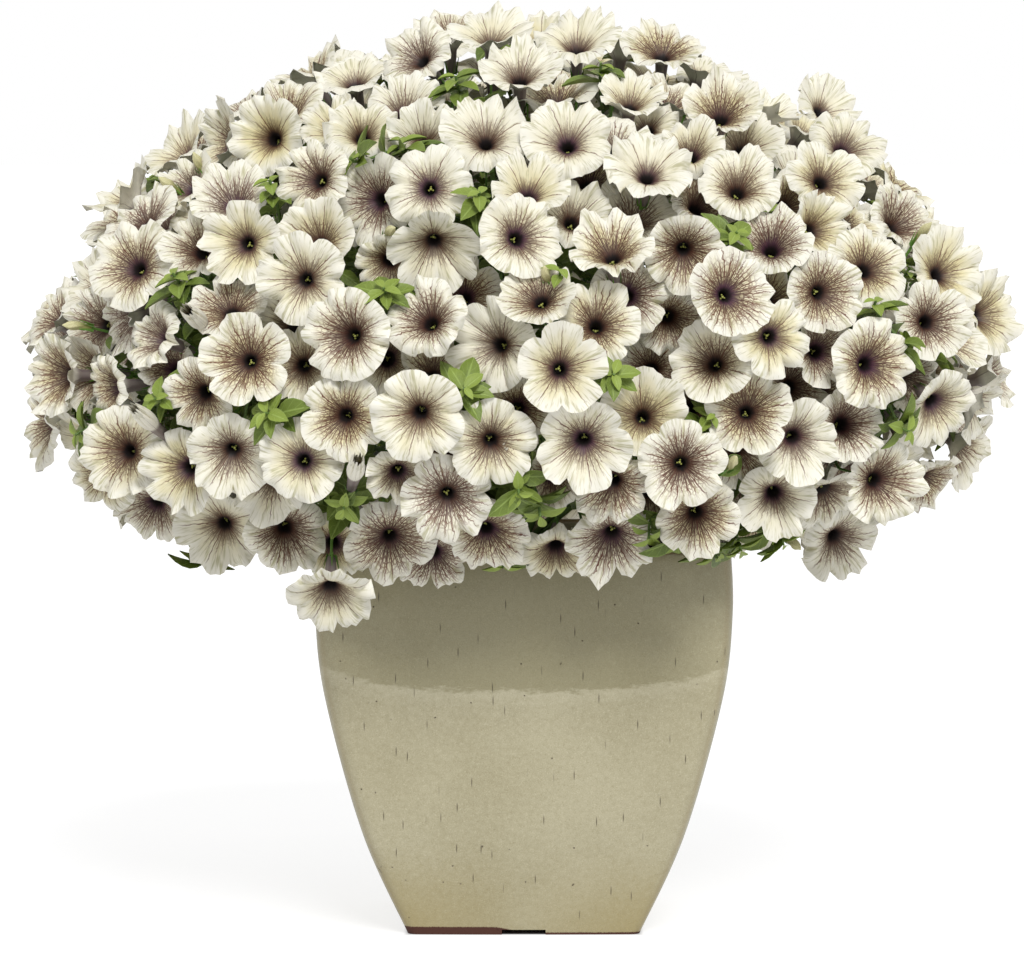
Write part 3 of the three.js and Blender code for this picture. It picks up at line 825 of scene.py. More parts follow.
def mound_behind(x, y):
    """The mound's point behind a pixel, and whether the line of sight meets the mound."""
    stride, halvings, nearest = 0.008, 5, 0.43
    eye, ray = sight(x, y)
    middle = -eye.y / ray.y
    depth = middle - nearest
    while depth < middle and mound_level(eye + ray * depth) >= 1:
        depth += stride
    if depth >= middle:
        return eye + ray * middle, False
    near, far = depth - stride, depth
    for _ in range(halvings):
        half = (near + far) / 2
        inside = mound_level(eye + ray * half) < 1
        near, far = (near, half) if inside else (half, far)
    return eye + ray * far, True


def facing_of(right, up):
    """The way a bloom faces, from how far it turns right and up in the picture."""
    towards = math.sqrt(max(0.02, 1 - right**2 - up**2))
    return (Vector((right, 0, 0)) + PICTURE_UP * up - LOOK * towards).normalized()


def lengths(vectors):
    return np.linalg.norm(vectors, axis=-1)


def stalk_end(node):
    """The thin end of a CAD flower or bud, its points and how far from that end they are."""
    points = np.array([vertex.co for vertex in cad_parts[node].data.vertices])
    farthest = points[lengths(points - points.mean(0)).argmax()]
    thin = points[lengths(points - farthest) < 0.0025].mean(0)
    return thin, points, lengths(points - thin)


def flower_place(node):
    """The rim's centre and the facing of a CAD flower."""
    thin, points, away = stalk_end(node)
    rim = points[away > away.max() - 0.003].mean(0)
    facing = Vector(rim - thin).normalized()
    return Vector(thin) + facing * STALK_END, facing


def curve(start, first, second, end, steps):
    """Points along a smooth line that two handles pull."""
    share = np.linspace(0, 1, steps + 1)[:, None]
    rest = 1 - share
    start, first, second, end = (np.array(point) for point in (start, first, second, end))
    return (
        rest**3 * start
        + 3 * rest**2 * share * first
        + 3 * rest * share**2 * second
        + share**3 * end
    )


def turn_of(axis, spin):
    """The turn from +Z to a direction, with a spin about it."""
    return axis.to_track_quat("Z", "Y").to_matrix() @ Matrix.Rotation(spin, 3, "Z")


def sector_of(points):
    """Which of a limb's sectors each point is in."""
    turn = np.arctan2(points[..., 1], points[..., 0]) / (2 * math.pi)
    return np.round(turn * SECTORS).astype(int) % SECTORS


def limb_of(mesh):
    """A bloom's limb: distance out and height, for each sector and ring."""
    count = len(mesh.vertices)
    place, petal, side = np.empty((count, 3)), np.empty((count, 3)), np.empty(count)
    mesh.vertices.foreach_get("co", place.ravel())
    mesh.attributes["petal"].data.foreach_get("vector", petal.ravel())
    mesh.attributes["side"].data.foreach_get("value", side)
    front = (side < 0.5) & (petal[:, 2] > 0.05)
    place, petal = place[front], petal[front]
    ring = np.abs(petal[:, 2:3] - np.array(RINGS)).argmin(1)
    limb = np.zeros((SECTORS, len(RINGS), 2))
    out = np.hypot(place[:, 0], place[:, 1])
    limb[sector_of(petal), ring] = np.stack([out, place[:, 2]], 1)
    return limb


def limb_under(limbs, seen):
    """How far from a limb's axis points are, its height there and whether they are over it."""
    radial = np.hypot(seen[..., 0], seen[..., 1])
    shape = limbs[np.arange(len(limbs))[:, None], sector_of(seen)]
    ring = np.clip((shape[..., 0] < radial[..., None]).sum(2), 1, len(RINGS) - 1)[..., None, None]
    first = np.take_along_axis(shape, ring - 1, 2)[:, :, 0]
    last = np.take_along_axis(shape, ring, 2)[:, :, 0]
    share = (radial - first[..., 0]) / np.maximum(last[..., 0] - first[..., 0], 1e-5)
    height = first[..., 1] + (last[..., 1] - first[..., 1]) * np.clip(share, 0, 1)
    return radial, height, radial < shape[..., -1, 0] + MM


def work_out_limbs(blooms):
    """Gives each new bloom its limb, from a coarse trial piece that is taken away again."""
    blooms = [bloom for bloom in blooms if bloom.limb is None]
    pieces = []
    for number, bloom in enumerate(blooms, 1):
        values = {**bloom.measures, "Columns": SECTORS, "Rows": ROWS}
        pieces.append(seedling(f"trial_{number:03d}", bloom_tree(), values))
    harvest(pieces)
    for bloom, piece in zip(blooms, pieces):
        mesh = piece.data
        bloom.limb = limb_of(mesh)
        bpy.data.objects.remove(piece)
        bpy.data.meshes.remove(mesh)


def crossings(rims, turns, limbs, pairs):
    """How far the lower bloom of each pair sticks through the upper one, in metres."""
    rings = (2, 4, 6)  # enough to feel each limb's shape
    angle = np.arange(SECTORS) * (2 * math.pi / SECTORS)
    flat = np.stack([np.cos(angle), np.sin(angle)], 1)[:, None]
    out, height = limbs[:, :, rings, 0], limbs[:, :, rings, 1]
    local = np.concatenate([flat * out[..., None], height[..., None]], 3).reshape(len(rims), -1, 3)
    points = np.einsum("bpk,bjk->bpj", local, turns) + rims[:, None]
    upper, lower = pairs
    worst = np.zeros(len(upper))
    for one, other, sign in ((upper, lower, 1), (lower, upper, -1)):
        seen = np.einsum("npk,nkj->npj", points[other] - rims[one][:, None], turns[one])
        radial, surface, inside = limb_under(limbs[one], seen)
        if sign > 0:
            # What is under the upper bloom stays clear of its tube.
            surface = np.where(radial < TUBE_RADIUS, np.minimum(surface, TUBE_FROM), surface)
        off = (seen[..., 2] - surface) * sign
        wrong = np.where(inside, off + CLEARANCE, 0).max(1)
        right = np.where(inside, CLEARANCE - off, 0).max(1)
        worst = np.maximum(worst, np.minimum(wrong, right))
    return worst


def settle(blooms, depths, steps):
    """Moves blooms in or out until neighbours lie over each other instead of crossing."""
    work_out_limbs(blooms)
    limbs, rims, facing, outward = (
        np.array([getattr(bloom, name) for bloom in blooms])
        for name in ("limb", "rim", "facing", "outward")
    )
    look = np.array(LOOK)
    radii = limbs[:, :, -1, 0].max(1)
    free = np.array([not bloom.stands_for for bloom in blooms])
    order = np.array([bloom.layer + i * 1e-4 for i, bloom in enumerate(blooms)])
    shift = np.where(free, -np.array(depths), 0.0)
    facing_floor = np.where(outward @ look < 0.5, 0.25, -1.0)
    for _ in range(steps):
        turns = np.array([turn_of(Vector(way), bloom.spin) for way, bloom in zip(facing, blooms)])
        now = rims + outward * shift[:, None]
        gap = lengths(now[None] - now[:, None])
        near = (gap < radii[None] + radii[:, None]) & (order[:, None] < order[None])
        pairs = np.nonzero(near & (free[None] | free[:, None]))
        worst = crossings(now, turns, limbs, pairs)
        push, lift = np.zeros((2, len(blooms)))
        upper, lower = pairs
        np.maximum.at(push, lower, worst * PUSH)
        np.maximum.at(lift, upper, worst * LIFT)
        shift = np.where(free, np.clip(shift - push + lift, DEEPEST, HIGHEST), 0.0)
        far_off = worst > TURN_FROM
        for one, other in zip(upper[far_off], lower[far_off]):
            if free[other]:
                facing[other] += (facing[one] - facing[other]) * TURN_SHARE
        lacking = np.where(free, facing_floor + facing @ look, 0)
        facing -= np.maximum(lacking, 0)[:, None] * look
        facing /= lengths(facing)[:, None]
    left = np.zeros(len(blooms))
    np.maximum.at(left, lower, worst)
    kept = []
    for i, bloom in enumerate(blooms):
        if free[i]:
            bloom.rim = bloom.rim + bloom.outward * float(shift[i])
            bloom.facing = Vector(facing[i])
        fits = left[i] < TURN_FROM and clear_of_planter(bloom.rim, bloom.facing)
        if bloom.stands_for or bloom.read or fits:
            kept.append(bloom)
    return kept


def clear_of_planter(rim, facing):
    """Whether a bloom's tube and stalk stay clear of the planter."""
    for share in (0.2, 0.45, 0.7, 1.0):
        point = rim - facing * STALK_END * share
        if point.z < POT_HEIGHT + 0.006 and max(abs(point.x), abs(point.y)) < WIDEST_HALF + 0.012:
            return False
    return True


def all_blooms(draw):
    """The blooms of the picture, the ones between them and the ones on the far side."""
    blooms = []
    for number in range(1, CAD_BLOOMS + 1):
        node = f"flower_{number:02d}"
        rim, facing = flower_place(node)
        grown(blooms, draw, rim, facing, BLOOM_RADIUS, mound_normal(rim), 0, node)
    for x, y, width, right, up, layer in FRONT_BLOOMS:
        rim, _ = mound_behind(x, y)
        to_eye = sight(x, y)[0] - rim
        radius = width / 2 * to_eye.length / FOCAL_PIXELS
        facing = facing_of(right, up)
        grown(blooms, draw, rim, facing, radius, to_eye.normalized(), layer, read=True)
    for x, y, right, up in SPENT_BLOOMS:
        rim, _ = mound_behind(x, y)
        grown(blooms, draw, rim, facing_of(right, up), 0, mound_normal(rim), 0, read=True)
        blooms[-1].measures.update(SPENT)
    fill_picture(blooms, draw)
    scatter(blooms, draw, 0.041, 9000)
    scatter(blooms, draw, 0.031, 4000)
    blooms = settle(blooms, [0.006 * bloom.layer for bloom in blooms], 50)
    settled = len(blooms)
    fill_picture(blooms, draw)
    scatter(blooms, draw, 0.038, 6000, 0.68, -0.2)
    return settle(blooms, [0.0] * settled + [0.018] * (len(blooms) - settled), 30)


def grown(blooms, draw, rim, facing, radius, *settings, **more):
    """Adds a bloom with measures of its own, shorter veined at the sunny top, partly as painted
    light.
    """
    measures = {name: draw.uniform(*between) for name, between in MEASURES.items()}
    measures["Radius"] = radius * FULLNESS
    # Shorter veins at the top: partly the blooms' own paleness, partly painted light.
    measures["Reach"] -= 0.15 * (rim.z > SUNNY_FROM)
    spin = draw.uniform(0, 2 * math.pi)
    blooms.append(Bloom(rim, facing, *settings, spin=spin, measures=measures, **more))


def fill_picture(blooms, draw):
    """Adds low blooms where the picture's side of the mound still has gaps."""
    for _ in range(5000):
        x, y = draw.uniform(20, 1005), draw.uniform(15, 585)
        rim, met = mound_behind(x, y)
        ways = [bloom.rim - rim for bloom in blooms if bloom.rim.y < FRONT_TO]
        near = min((way - way.dot(LOOK) * LOOK).length for way in ways)
        facing = (mound_normal(rim) + random_vector(draw, 0.5)).normalized()
        radius = draw.uniform(0.025, 0.031)
        off_leaves = min(math.dist((x, y), leafy) for leafy in LEAFY_TIPS)
        if met and near > 0.030 and off_leaves > 36 and clear_of_planter(rim, facing):
            to_eye = sight(x, y)[0] - rim
            grown(blooms, draw, rim, facing, radius, to_eye.normalized(), LOWEST_LAYER)


def scatter(blooms, draw, spacing, tries, flank=0.8, forward=-0.1):
    """Adds blooms all over the mound's far side and flanks, at least a spacing apart."""
    for _ in range(tries):
        direction = random_vector(draw, 1.0).normalized()
        if direction.z < -0.62:
            continue
        low, high = 0.0, 0.6
        for _ in range(24):
            reach = (low + high) / 2
            within = mound_level(MOUND_MIDDLE + direction * reach) < 1
            low, high = (reach, high) if within else (low, reach)
        rim = MOUND_MIDDLE + direction * low
        if rim.y < 0.0 and not (abs(direction.x) > flank and rim.y > forward):
            continue
        # Blooms along the outline sit a little deeper, so that it stays as wide as the picture's.
        rim = rim - direction * 0.014 * max(0.0, 1 - abs(rim.y - 0.1) / 0.25)
        near = min((bloom.rim - rim).length for bloom in blooms)
        outward = mound_normal(rim)
        lift = UP * draw.uniform(0.0, 0.35)
        facing = (outward + lift + random_vector(draw, 0.3)).normalized()
        toward = -outward.dot(LOOK)
        if toward > -0.5:
            lacking = 0.3 + max(toward, 0.0) * 0.5 + facing.dot(LOOK)
            facing = (facing - LOOK * max(0.0, lacking)).normalized()
        if near > spacing and clear_of_planter(rim, facing):
            layer = draw.choice((0, 0, 1, 2)) + (rim.y < 0.1)
            layer = LOWEST_LAYER if spacing < 0.04 else layer
            grown(blooms, draw, rim, facing, draw.uniform(0.0285, 0.0325), outward, layer)


def random_vector(draw, size):
    return Vector([draw.gauss(0, 1) for _ in range(3)]).normalized() * size * draw.uniform(0.3, 1)


class Branching:
    """The growing plant: twigs start from the nearest fitting place of those already there."""

    def __init__(self):
        self.twigs = []
        self.places = np.zeros((0, 3))
        self.headings = np.zeros((0, 3))
        self.shoots = np.zeros(0, int)

    def take(self, twig):
        self.twigs.append(twig)
        steps = np.gradient(twig.points, axis=0)
        steps /= lengths(steps)[:, None] + 1e-9
        inner = slice(len(twig.points) // 4, -1)
        self.places = np.vstack([self.places, twig.points[inner]])
        self.headings = np.vstack([self.headings, steps[inner]])
        self.shoots = np.append(self.shoots, [twig.shoot] * len(twig.points[inner]))

    def reach(self, end, facing, foot, leafy_from=0.3, tip=0.0):
        """Grows a twig that ends at a point and there runs along the facing."""
        end, facing = np.array(end), np.array(facing)
        way = end - self.places
        distance = lengths(way) + 1e-6
        ahead = (way * self.headings).sum(1) / distance
        outer = lengths(self.places - foot) > lengths(end - foot)
        cost = distance * (1.7 - 0.7 * ahead) + outer * 0.15 + (distance < 0.03) * 0.1
        best = cost.argmin()
        start, heading = self.places[best], self.headings[best]
        pull = distance[best] * 0.33
        lift = np.array([0, 0, 0.02]) * (facing[2] < 0)
        points = curve(start, start + heading * pull, end - facing * pull + lift, end, 8)
        self.take(Twig(points, int(self.shoots[best]), *TWIG_RADII, leafy_from, tip))


def seen_from(bloom, point):
    """How high a point lies over a bloom, the way aside to it and that as a share of its radius."""
    off = point - bloom.rim
    height = off.dot(bloom.facing)
    aside = off - bloom.facing * height
    return height, aside, aside.length / bloom.measures["Radius"]


def between_blooms(point, outward, blooms):
    """Moves a leafy tip off the middles of the blooms near it, or under one it can't avoid."""
    over, under = 0.02, 0.022
    for _ in range(15):
        for bloom in blooms:
            height, aside, share = seen_from(bloom, point)
            if share < 0.75 and abs(height) < over:
                short = (0.75 - share) * bloom.measures["Radius"]
                point = point + aside.normalized() * short * 0.3
    for bloom in blooms:
        height, _, share = seen_from(bloom, point)
        if share < 0.65 and -under < height < over:
            point = point - outward * (height + under)
    return point


def lead_shoots(branching, blooms, crown):
    """Grows the shoots themselves, each with a bloom at its end and two on side twigs."""
    steps, side_steps = 24, 14
    for shoot, (azimuth, elevation) in enumerate(SHOOT_STARTS):
        turn, tilt = math.radians(azimuth), math.radians(elevation)
        flat = math.cos(tilt)
        start = Vector((math.cos(turn) * flat, math.sin(turn) * flat, math.sin(tilt)))
        lead, *others = blooms[3 * shoot : 3 * shoot + 3]
        end = lead.rim - lead.facing * STALK_END
        base = crown + start * (CROWN_RADIUS - 0.002)
        reach = (end - base).length
        fall = end - lead.facing * 0.3 * reach + UP * 0.06 * reach
        stem = curve(base, base + start * 0.4 * reach, fall, end, steps)
        branching.take(Twig(stem, shoot, *STEM_RADII, 0.25))
        for share, bloom in zip(SIDE_TWIG_SHARES, others):
            place = round(share * steps)
            heading = Vector(stem[place + 1] - stem[place]).normalized()
            end = bloom.rim - bloom.facing * STALK_END
            origin = Vector(stem[place])
            length = (end - origin).length
            last = end - bloom.facing * 0.35 * length
            side = curve(origin, origin + heading * 0.3 * length, last, end, side_steps)
            branching.take(Twig(side, shoot, *SIDE_RADII, 0.2))


def leafy_tips(draw):
    """Ends and directions of leafy twigs: the picture's first, then more all over the mound."""
    tips = []
    for x, y in LEAFY_TIPS:
        point, _ = mound_behind(x, y)
        outward = mound_normal(point)
        tips.append((point + outward * 0.004, (outward + UP * 0.3).normalized()))
    for _ in range(900):
        direction = random_vector(draw, 1.0).normalized()
        point = MOUND_MIDDLE + direction * 0.25
        while mound_level(point) < 1:
            point = point + direction * 0.004
        if direction.z < -0.6 or (point.y < 0.02 and len(tips) > 60):
            continue
        if min((place - point).length for place, _ in tips) > TIP_SPACING:
            outward = mound_normal(point)
            deep = outward * draw.uniform(0.008, 0.03)
            tips.append((point - deep, (outward + UP * 0.3).normalized()))
    return tips


@functools.cache
def plan():
    """Where every bloom, bud, twig and leafy tip is. The same each time."""
    draw = random.Random(PLAN_SEED)
    blooms = all_blooms(draw)
    low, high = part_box("plant_crown")
    crown = Vector(((low.x + high.x) / 2, (low.y + high.y) / 2, high.z - CROWN_RADIUS))
    foot = np.array(crown)
    branching = Branching()
    lead_shoots(branching, blooms, crown)
    later = sorted(blooms[CAD_BLOOMS:], key=lambda bloom: (bloom.rim - crown).length)
    for bloom in later:
        branching.reach(bloom.rim - bloom.facing * STALK_END, bloom.facing, foot)
    for number, (point, outward) in enumerate(leafy_tips(draw)):
        size = 1.25 if number < len(LEAFY_TIPS) else 1.0
        branching.reach(between_blooms(point, outward, blooms), outward, foot, 0.15, size)
    buds = []
    for number in range(1, CAD_BUDS + 1):
        node = f"bud_{number:02d}"
        thin, points, away = stalk_end(node)
        buds.append((Vector(thin), Vector(points[away.argmax()] - thin).normalized(), node))
    for x, y, right, up in BUDS:
        point, _ = mound_behind(x, y)
        lean = facing_of(right, up)
        root = point - lean * 0.030
        branching.reach(root, lean, foot, 0.4)
        buds.append((root, lean, ""))
    return blooms, branching.twigs, buds, crown


# Planter and soil


def wall_profile(count):
    """Half the planter's outer width against height: a smooth line through the measures."""
    given = np.array(HALF_WIDTHS) * MM
    padded = np.vstack([given[0], given, given[-1]])
    share = np.linspace(0, 1, count, endpoint=False)[:, None]
    runs = []
    for i in range(len(given) - 1):
        before, start, end, after = padded[i : i + 4]
        first = (end - before) * share
        second = (2 * before - 5 * start + 4 * end - after) * share**2
        third = (3 * start - before - 3 * end + after) * share**3
        runs.append(0.5 * (2 * start + first + second + third))
    return np.vstack([*runs, given[-1]])


PROFILE = wall_profile(60)


def half_at(height):
    return float(np.interp(height, PROFILE[:, 1], PROFILE[:, 0]))


def square_ring(half, height, notched=False):
    """One level of the planter's square section, with round corners and full faces."""
    sizes = bpy.context.scene.petunia_planter
    corner = sizes.corner * half / WIDEST_HALF
    bulge = sizes.bulge * half / WIDEST_HALF
    straight = half - corner
    quarter = []
    for turn in np.linspace(0, math.pi / 2, 9):
        x, y = straight + corner * math.cos(turn), straight + corner * math.sin(turn)
        quarter.append((x, y, False))
    edge = NOTCH_HALF / straight
    outer = (0.86, 0.7, 0.54, 0.4, edge + 0.001, edge)
    for share in (*outer, 0.0, *(-share for share in reversed(outer))):
        quarter.append((straight * share, half + bulge * (1 - share**2), abs(share) <= edge))
    ring = []
    for turn in range(4):
        c, s = math.cos(turn * math.pi / 2), math.sin(turn * math.pi / 2)
        for x, y, within in quarter:
            z = NOTCH_HEIGHT if notched and within else height
            ring.append((x * c - y * s, x * s + y * c, z))
    return ring


def round_ring(radius, height):
    return [
        (radius * x / math.hypot(x, y), radius * y / math.hypot(x, y), height)
        for x, y, _ in square_ring(DRAIN_RADIUS * 4, height)
    ]


def planter_rings(wall):
    """The planter's outside, rim, inside, floor, drain hole and underside, in one round.

    Also gives how many of the bands between its rings are glazed.
    """
    rings = [square_ring(half_at(0), 0, True)]
    for height in (FOOT_HEIGHT, *np.linspace(0.008, POT_HEIGHT - 0.004, 56)):
        rings.append(square_ring(half_at(height), float(height)))
    half = half_at(POT_HEIGHT)
    outer_edge = (half - ROUND_EDGE, (0.25, 0.5, 0.75, 1.0))
    inner_edge = (half - wall + ROUND_EDGE, (1.0, 1.25, 1.5, 1.75, 2.0))
    for middle, turns in (outer_edge, inner_edge):
        for turn in turns:
            angle = turn * math.pi / 2
            out = middle + ROUND_EDGE * math.cos(angle)
            rings.append(square_ring(out, POT_HEIGHT - ROUND_EDGE + ROUND_EDGE * math.sin(angle)))
    glazed = len(rings)
    for height in np.linspace(SOIL_EDGE, FLOOR_TOP, 14):
        rings.append(square_ring(half_at(height) - wall, float(height)))
    rings.append(round_ring(DRAIN_RADIUS, FLOOR_TOP))
    rings.append(round_ring(DRAIN_RADIUS, FOOT_HEIGHT))
    rings.append(square_ring(half_at(0) - FOOT_WIDTH, FOOT_HEIGHT))
    rings.append(square_ring(half_at(0) - FOOT_WIDTH, 0, True))
    return rings, glazed


class PETUNIA_OT_planter(bpy.types.Operator):
    """Make the square glazed planter with its bare clay foot"""

    bl_idname = "petunia.planter"
    bl_label = "Planter"

    def execute(self, context):
        rings, glazed = planter_rings(context.scene.petunia_planter.wall)
        points, faces = skin(rings, True)
        mesh = mesh_of("glazed_planter", points, faces, glaze_finish(), clay_finish())
        bare = np.arange(len(faces)) >= glazed * len(rings[0])
        mesh.polygons.foreach_set("material_index", bare.astype(np.int32))
        mesh.set_sharp_from_angle(angle=math.radians(50))
        keep(piece_of("glazed_planter", mesh), "glaze", "planter_pot")
        return {"FINISHED"}


def crumb_tree():
    """Scatters crumbs and grit over the top of the soil."""
    inputs = {"Crumbs": 9000.0, "Grit": 1500.0, "Seed": CRUMB_SEED}
    tree, given, soil = growth("Soil crumbs", inputs)
    normal = split(tree, tree.nodes.new("GeometryNodeInputNormal").outputs[0])[2]
    top = normal.maths("GREATER_THAN", 0.75)
    parts = [soil]
    crumbs, grit = ("Crumbs", 0.0022, soil_finish(), 0), ("Grit", 0.0014, grit_finish(), 7)
    for label, size, material, offset in (crumbs, grit):
        seed = given["Seed"] + offset
        spread = {"Mesh": soil, "Selection": top, "Density": given[label], "Seed": seed}
        points = add(tree, "GeometryNodeDistributePointsOnFaces", spread)
        sizes = {"Min": (0.5, 0.5, 0.3), "Max": (1.6, 1.3, 1.0), "Seed": seed}
        flat = add(tree, "FunctionNodeRandomValue", sizes, data_type="FLOAT_VECTOR")
        spots = {
            "Points": points.outputs["Points"],
            "Instance": coloured(tree, ball(tree, size), material),
            "Rotation": points.outputs["Rotation"],
            "Scale": flat.outputs[0],
        }
        parts.append(add(tree, "GeometryNodeInstanceOnPoints", spots).outputs[0])
    end_growth(tree, together(tree, *parts))
    return tree


class PETUNIA_OT_soil(bpy.types.Operator):
    """Make the potting soil with crumbs and pale grit on top"""

    bl_idname = "petunia.soil"
    bl_label = "Soil"

    def execute(self, context):
        wall = context.scene.petunia_planter.wall + SOIL_GAP
        low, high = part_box("potting_soil")
        levels = map(float, np.linspace(low.z, SOIL_EDGE, 10))
        rings = [square_ring(half_at(level) - wall, level) for level in levels]
        for share in (0.94, 0.85, 0.75, 0.65, 0.55, 0.45, 0.35, 0.25, 0.15, 0.07):
            rise = (high.z - SOIL_EDGE) * min(1.0, (1 - share) / 0.45)
            ring = []
            for x, y, _ in square_ring((half_at(SOIL_EDGE) - wall) * share, 0):
                lump = noise.noise(Vector((x, y, 0)) * 60) * 0.0014
                ring.append((x, y, SOIL_EDGE + rise + lump))
            rings.append(ring)
        points, faces = skin(rings, False)
        mesh = mesh_of("soil_bed", points, faces, soil_finish())
        soil = seedling("soil_bed", crumb_tree(), {"Seed": CRUMB_SEED}, mesh)
        harvest([soil])
        keep(soil, "soil", "potting_soil")
        return {"FINISHED"}


class PETUNIA_OT_crown(bpy.types.Operator):
    """Make the knobbly crown that the shoots start from"""

    bl_idname = "petunia.crown"
    bl_label = "Crown"

    def execute(self, context):
        crown = plan()[3]
        low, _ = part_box("plant_crown")
        rings = []
        for turn in np.linspace(math.asin((low.z - crown.z) / CROWN_RADIUS), math.radians(86), 16):
            ring = []
            for angle in np.linspace(0, 2 * math.pi, 40, endpoint=False):
                flat = math.cos(turn)
                out = Vector((math.cos(angle) * flat, math.sin(angle) * flat, math.sin(turn)))
                knob = 1 + 0.12 * noise.noise(out * 4)
                place = crown + out * CROWN_RADIUS * min(knob, 1.08)
                ring.append((place.x, place.y, max(place.z, low.z)))
            rings.append(ring)
        points, faces = skin(rings, False)
        mesh = mesh_of("crown_knob", points, faces, bark_finish())
        keep(piece_of("crown_knob", mesh), "bark", "plant_crown")
        return {"FINISHED"}


# Shoots


def leaf_shape(tree, given):
    """One leaf: an ovate blade with a sunk midrib, closed, a few dozen faces."""
    mesh, u, v = grid(tree, 5, 6)
    angle = u * 2 * math.pi
    side = angle.maths("COSINE")
    top = angle.maths("SINE")
    width = v.through((0.12, 0.72, 1.0, 0.95, 0.66, 0.08)) * 0.5
    across = side * width * given["Leaf width"]
    fold = side.maths("ABSOLUTE") * width * given["Leaf width"] * LEAF_FOLD
    droop = (v ** 2.0) * given["Droop"]
    under = top.ramp(-0.5, 0.0, -0.022, 0.0)
    place = vector(tree, across, v, fold - droop + under)
    named = stored(tree, mesh, "blade", vector(tree, side, v, 0.0))
    blade = wrapped(tree, named, place)
    return coloured(tree, shaded(tree, blade, 2.2), leaf_finish())


def shoot_tree():
    """Tubes along the twigs and a leaf at every leaf point."""
    inputs = {"Sides": 6, "Leaf width": LEAF_WIDTH, "Droop": LEAF_DROOP}
    tree, given, carrier = growth("Leafy shoot", inputs)

    def carried(name, kind):
        node = add(tree, "GeometryNodeInputNamedAttribute", {"Name": name}, data_type=kind)
        return node.outputs["Attribute"]

    is_leaf = Field(tree, carried("size", "FLOAT")).maths("GREATER_THAN", 0.0)
    paths = add(tree, "GeometryNodeMeshToCurve", {"Mesh": carrier}).outputs[0]
    circle = {"Resolution": given["Sides"], "Radius": 1.0}
    tube = {
        "Curve": paths,
        "Profile Curve": add(tree, "GeometryNodeCurvePrimitiveCircle", circle).outputs[0],
        "Scale": carried("thickness", "FLOAT"),
        "Fill Caps": True,
    }
    stems = add(tree, "GeometryNodeCurveToMesh", tube).outputs[0]
    stems = coloured(tree, shaded(tree, stems, 1.3), stem_finish())
    turn = {
        "Primary Axis": carried("face", "FLOAT_VECTOR"),
        "Secondary Axis": carried("run", "FLOAT_VECTOR"),
    }
    rotation = add(tree, "FunctionNodeAxesToRotation", turn, primary_axis="Z", secondary_axis="Y")
    spots = {
        "Points": carrier,
        "Selection": is_leaf,
        "Instance": leaf_shape(tree, given),
        "Rotation": rotation.outputs[0],
        "Scale": carried("size", "FLOAT"),
    }
    leaves = add(tree, "GeometryNodeInstanceOnPoints", spots).outputs[0]
    end_growth(tree, together(tree, stems, leaves))
    return tree


def leaves_along(twig, draw, size):
    """Leaves at the nodes of a twig: place, run, face, length and youth of each."""
    points = twig.points
    run_so_far = np.concatenate([[0], np.cumsum(lengths(np.diff(points, axis=0)))])
    total = run_so_far[-1]
    found = []
    at = total * twig.leafy_from
    turn = draw.uniform(0, 2 * math.pi)
    while at < total:
        found.append((at, draw.uniform(0.75, 1.15) * size, 0.1 + 0.25 * draw.random(), 1.0))
        at += LEAF_SPACING * draw.uniform(0.8, 1.25)
    if twig.tip:
        for share in np.arange(TIP_LEAVES) / (TIP_LEAVES - 1):
            at = total - 0.016 * (1 - share)
            length = size * twig.tip * (0.95 - 0.55 * share) * draw.uniform(0.75, 1.1)
            found.append((at, length, 0.25 + 0.5 * share, 1.3 - 0.9 * share))

    def place_at(run):
        return np.array([np.interp(run, run_so_far, points[:, axis]) for axis in range(3)])

    made = []
    for at, scale, young, spread in found:
        turn += LEAF_TURN
        at = min(at, total - 1e-6)
        heading = Vector(place_at(at + 0.002) - place_at(at - 0.002)).normalized()
        side = heading.cross(Vector((0.31, 0.2, 0.93))).normalized()
        out = Matrix.Rotation(turn, 3, heading) @ side
        forward = heading * (0.45 / max(spread, 0.3))
        run = (forward + out + UP * 0.15 + random_vector(draw, 0.35)).normalized()
        face = (heading * 1.2 + UP * 0.5 - run * 0.2).normalized()
        made.append((Vector(place_at(at)), run, face, scale, young))
    return made


def leaf_points(leaves):
    """Four rows of three points on each leaf, as its blade lies."""
    places, runs, faces = (np.array([tuple(leaf[part]) for leaf in leaves]) for part in range(3))
    sizes = np.array([leaf[3] for leaf in leaves])[:, None]
    runs -= faces * (runs * faces).sum(1, keepdims=True)
    runs /= lengths(runs)[:, None]
    across = np.cross(runs, faces)
    rows = []
    for along, width in ((0.15, 0.17), (0.4, 0.26), (0.7, 0.2), (1.0, 0.02)):
        for side in (-1, 0, 1):
            rise = abs(side) * width * LEAF_FOLD - LEAF_DROOP * along**2
            rows.append(places + (runs * along + across * side * width + faces * rise) * sizes)
    return np.stack(rows, 1)


def through_petals(leaves, blooms):
    """Which leaves have points on both sides of a bloom's limb."""
    points = leaf_points(leaves)
    crossed = np.zeros(len(leaves), bool)
    for bloom in blooms:
        rim = np.array(bloom.rim)
        near = np.nonzero(lengths(points[:, 4] - rim) < 0.06)[0]
        if not len(near):
            continue
        seen = (points[near] - rim) @ np.array(turn_of(bloom.facing, bloom.spin))
        radial, surface, inside = limb_under(bloom.limb[None], seen)
        height = seen[..., 2] - surface
        above = (inside & (height > -0.0005)).any(1)
        below = (inside & (height < 0.0005)).any(1)
        in_tube = (radial < 0.008) & (seen[..., 2] < 0) & (seen[..., 2] > -CALYX_DEPTH)
        crossed[near] |= above & below | in_tube.any(1)
    return crossed


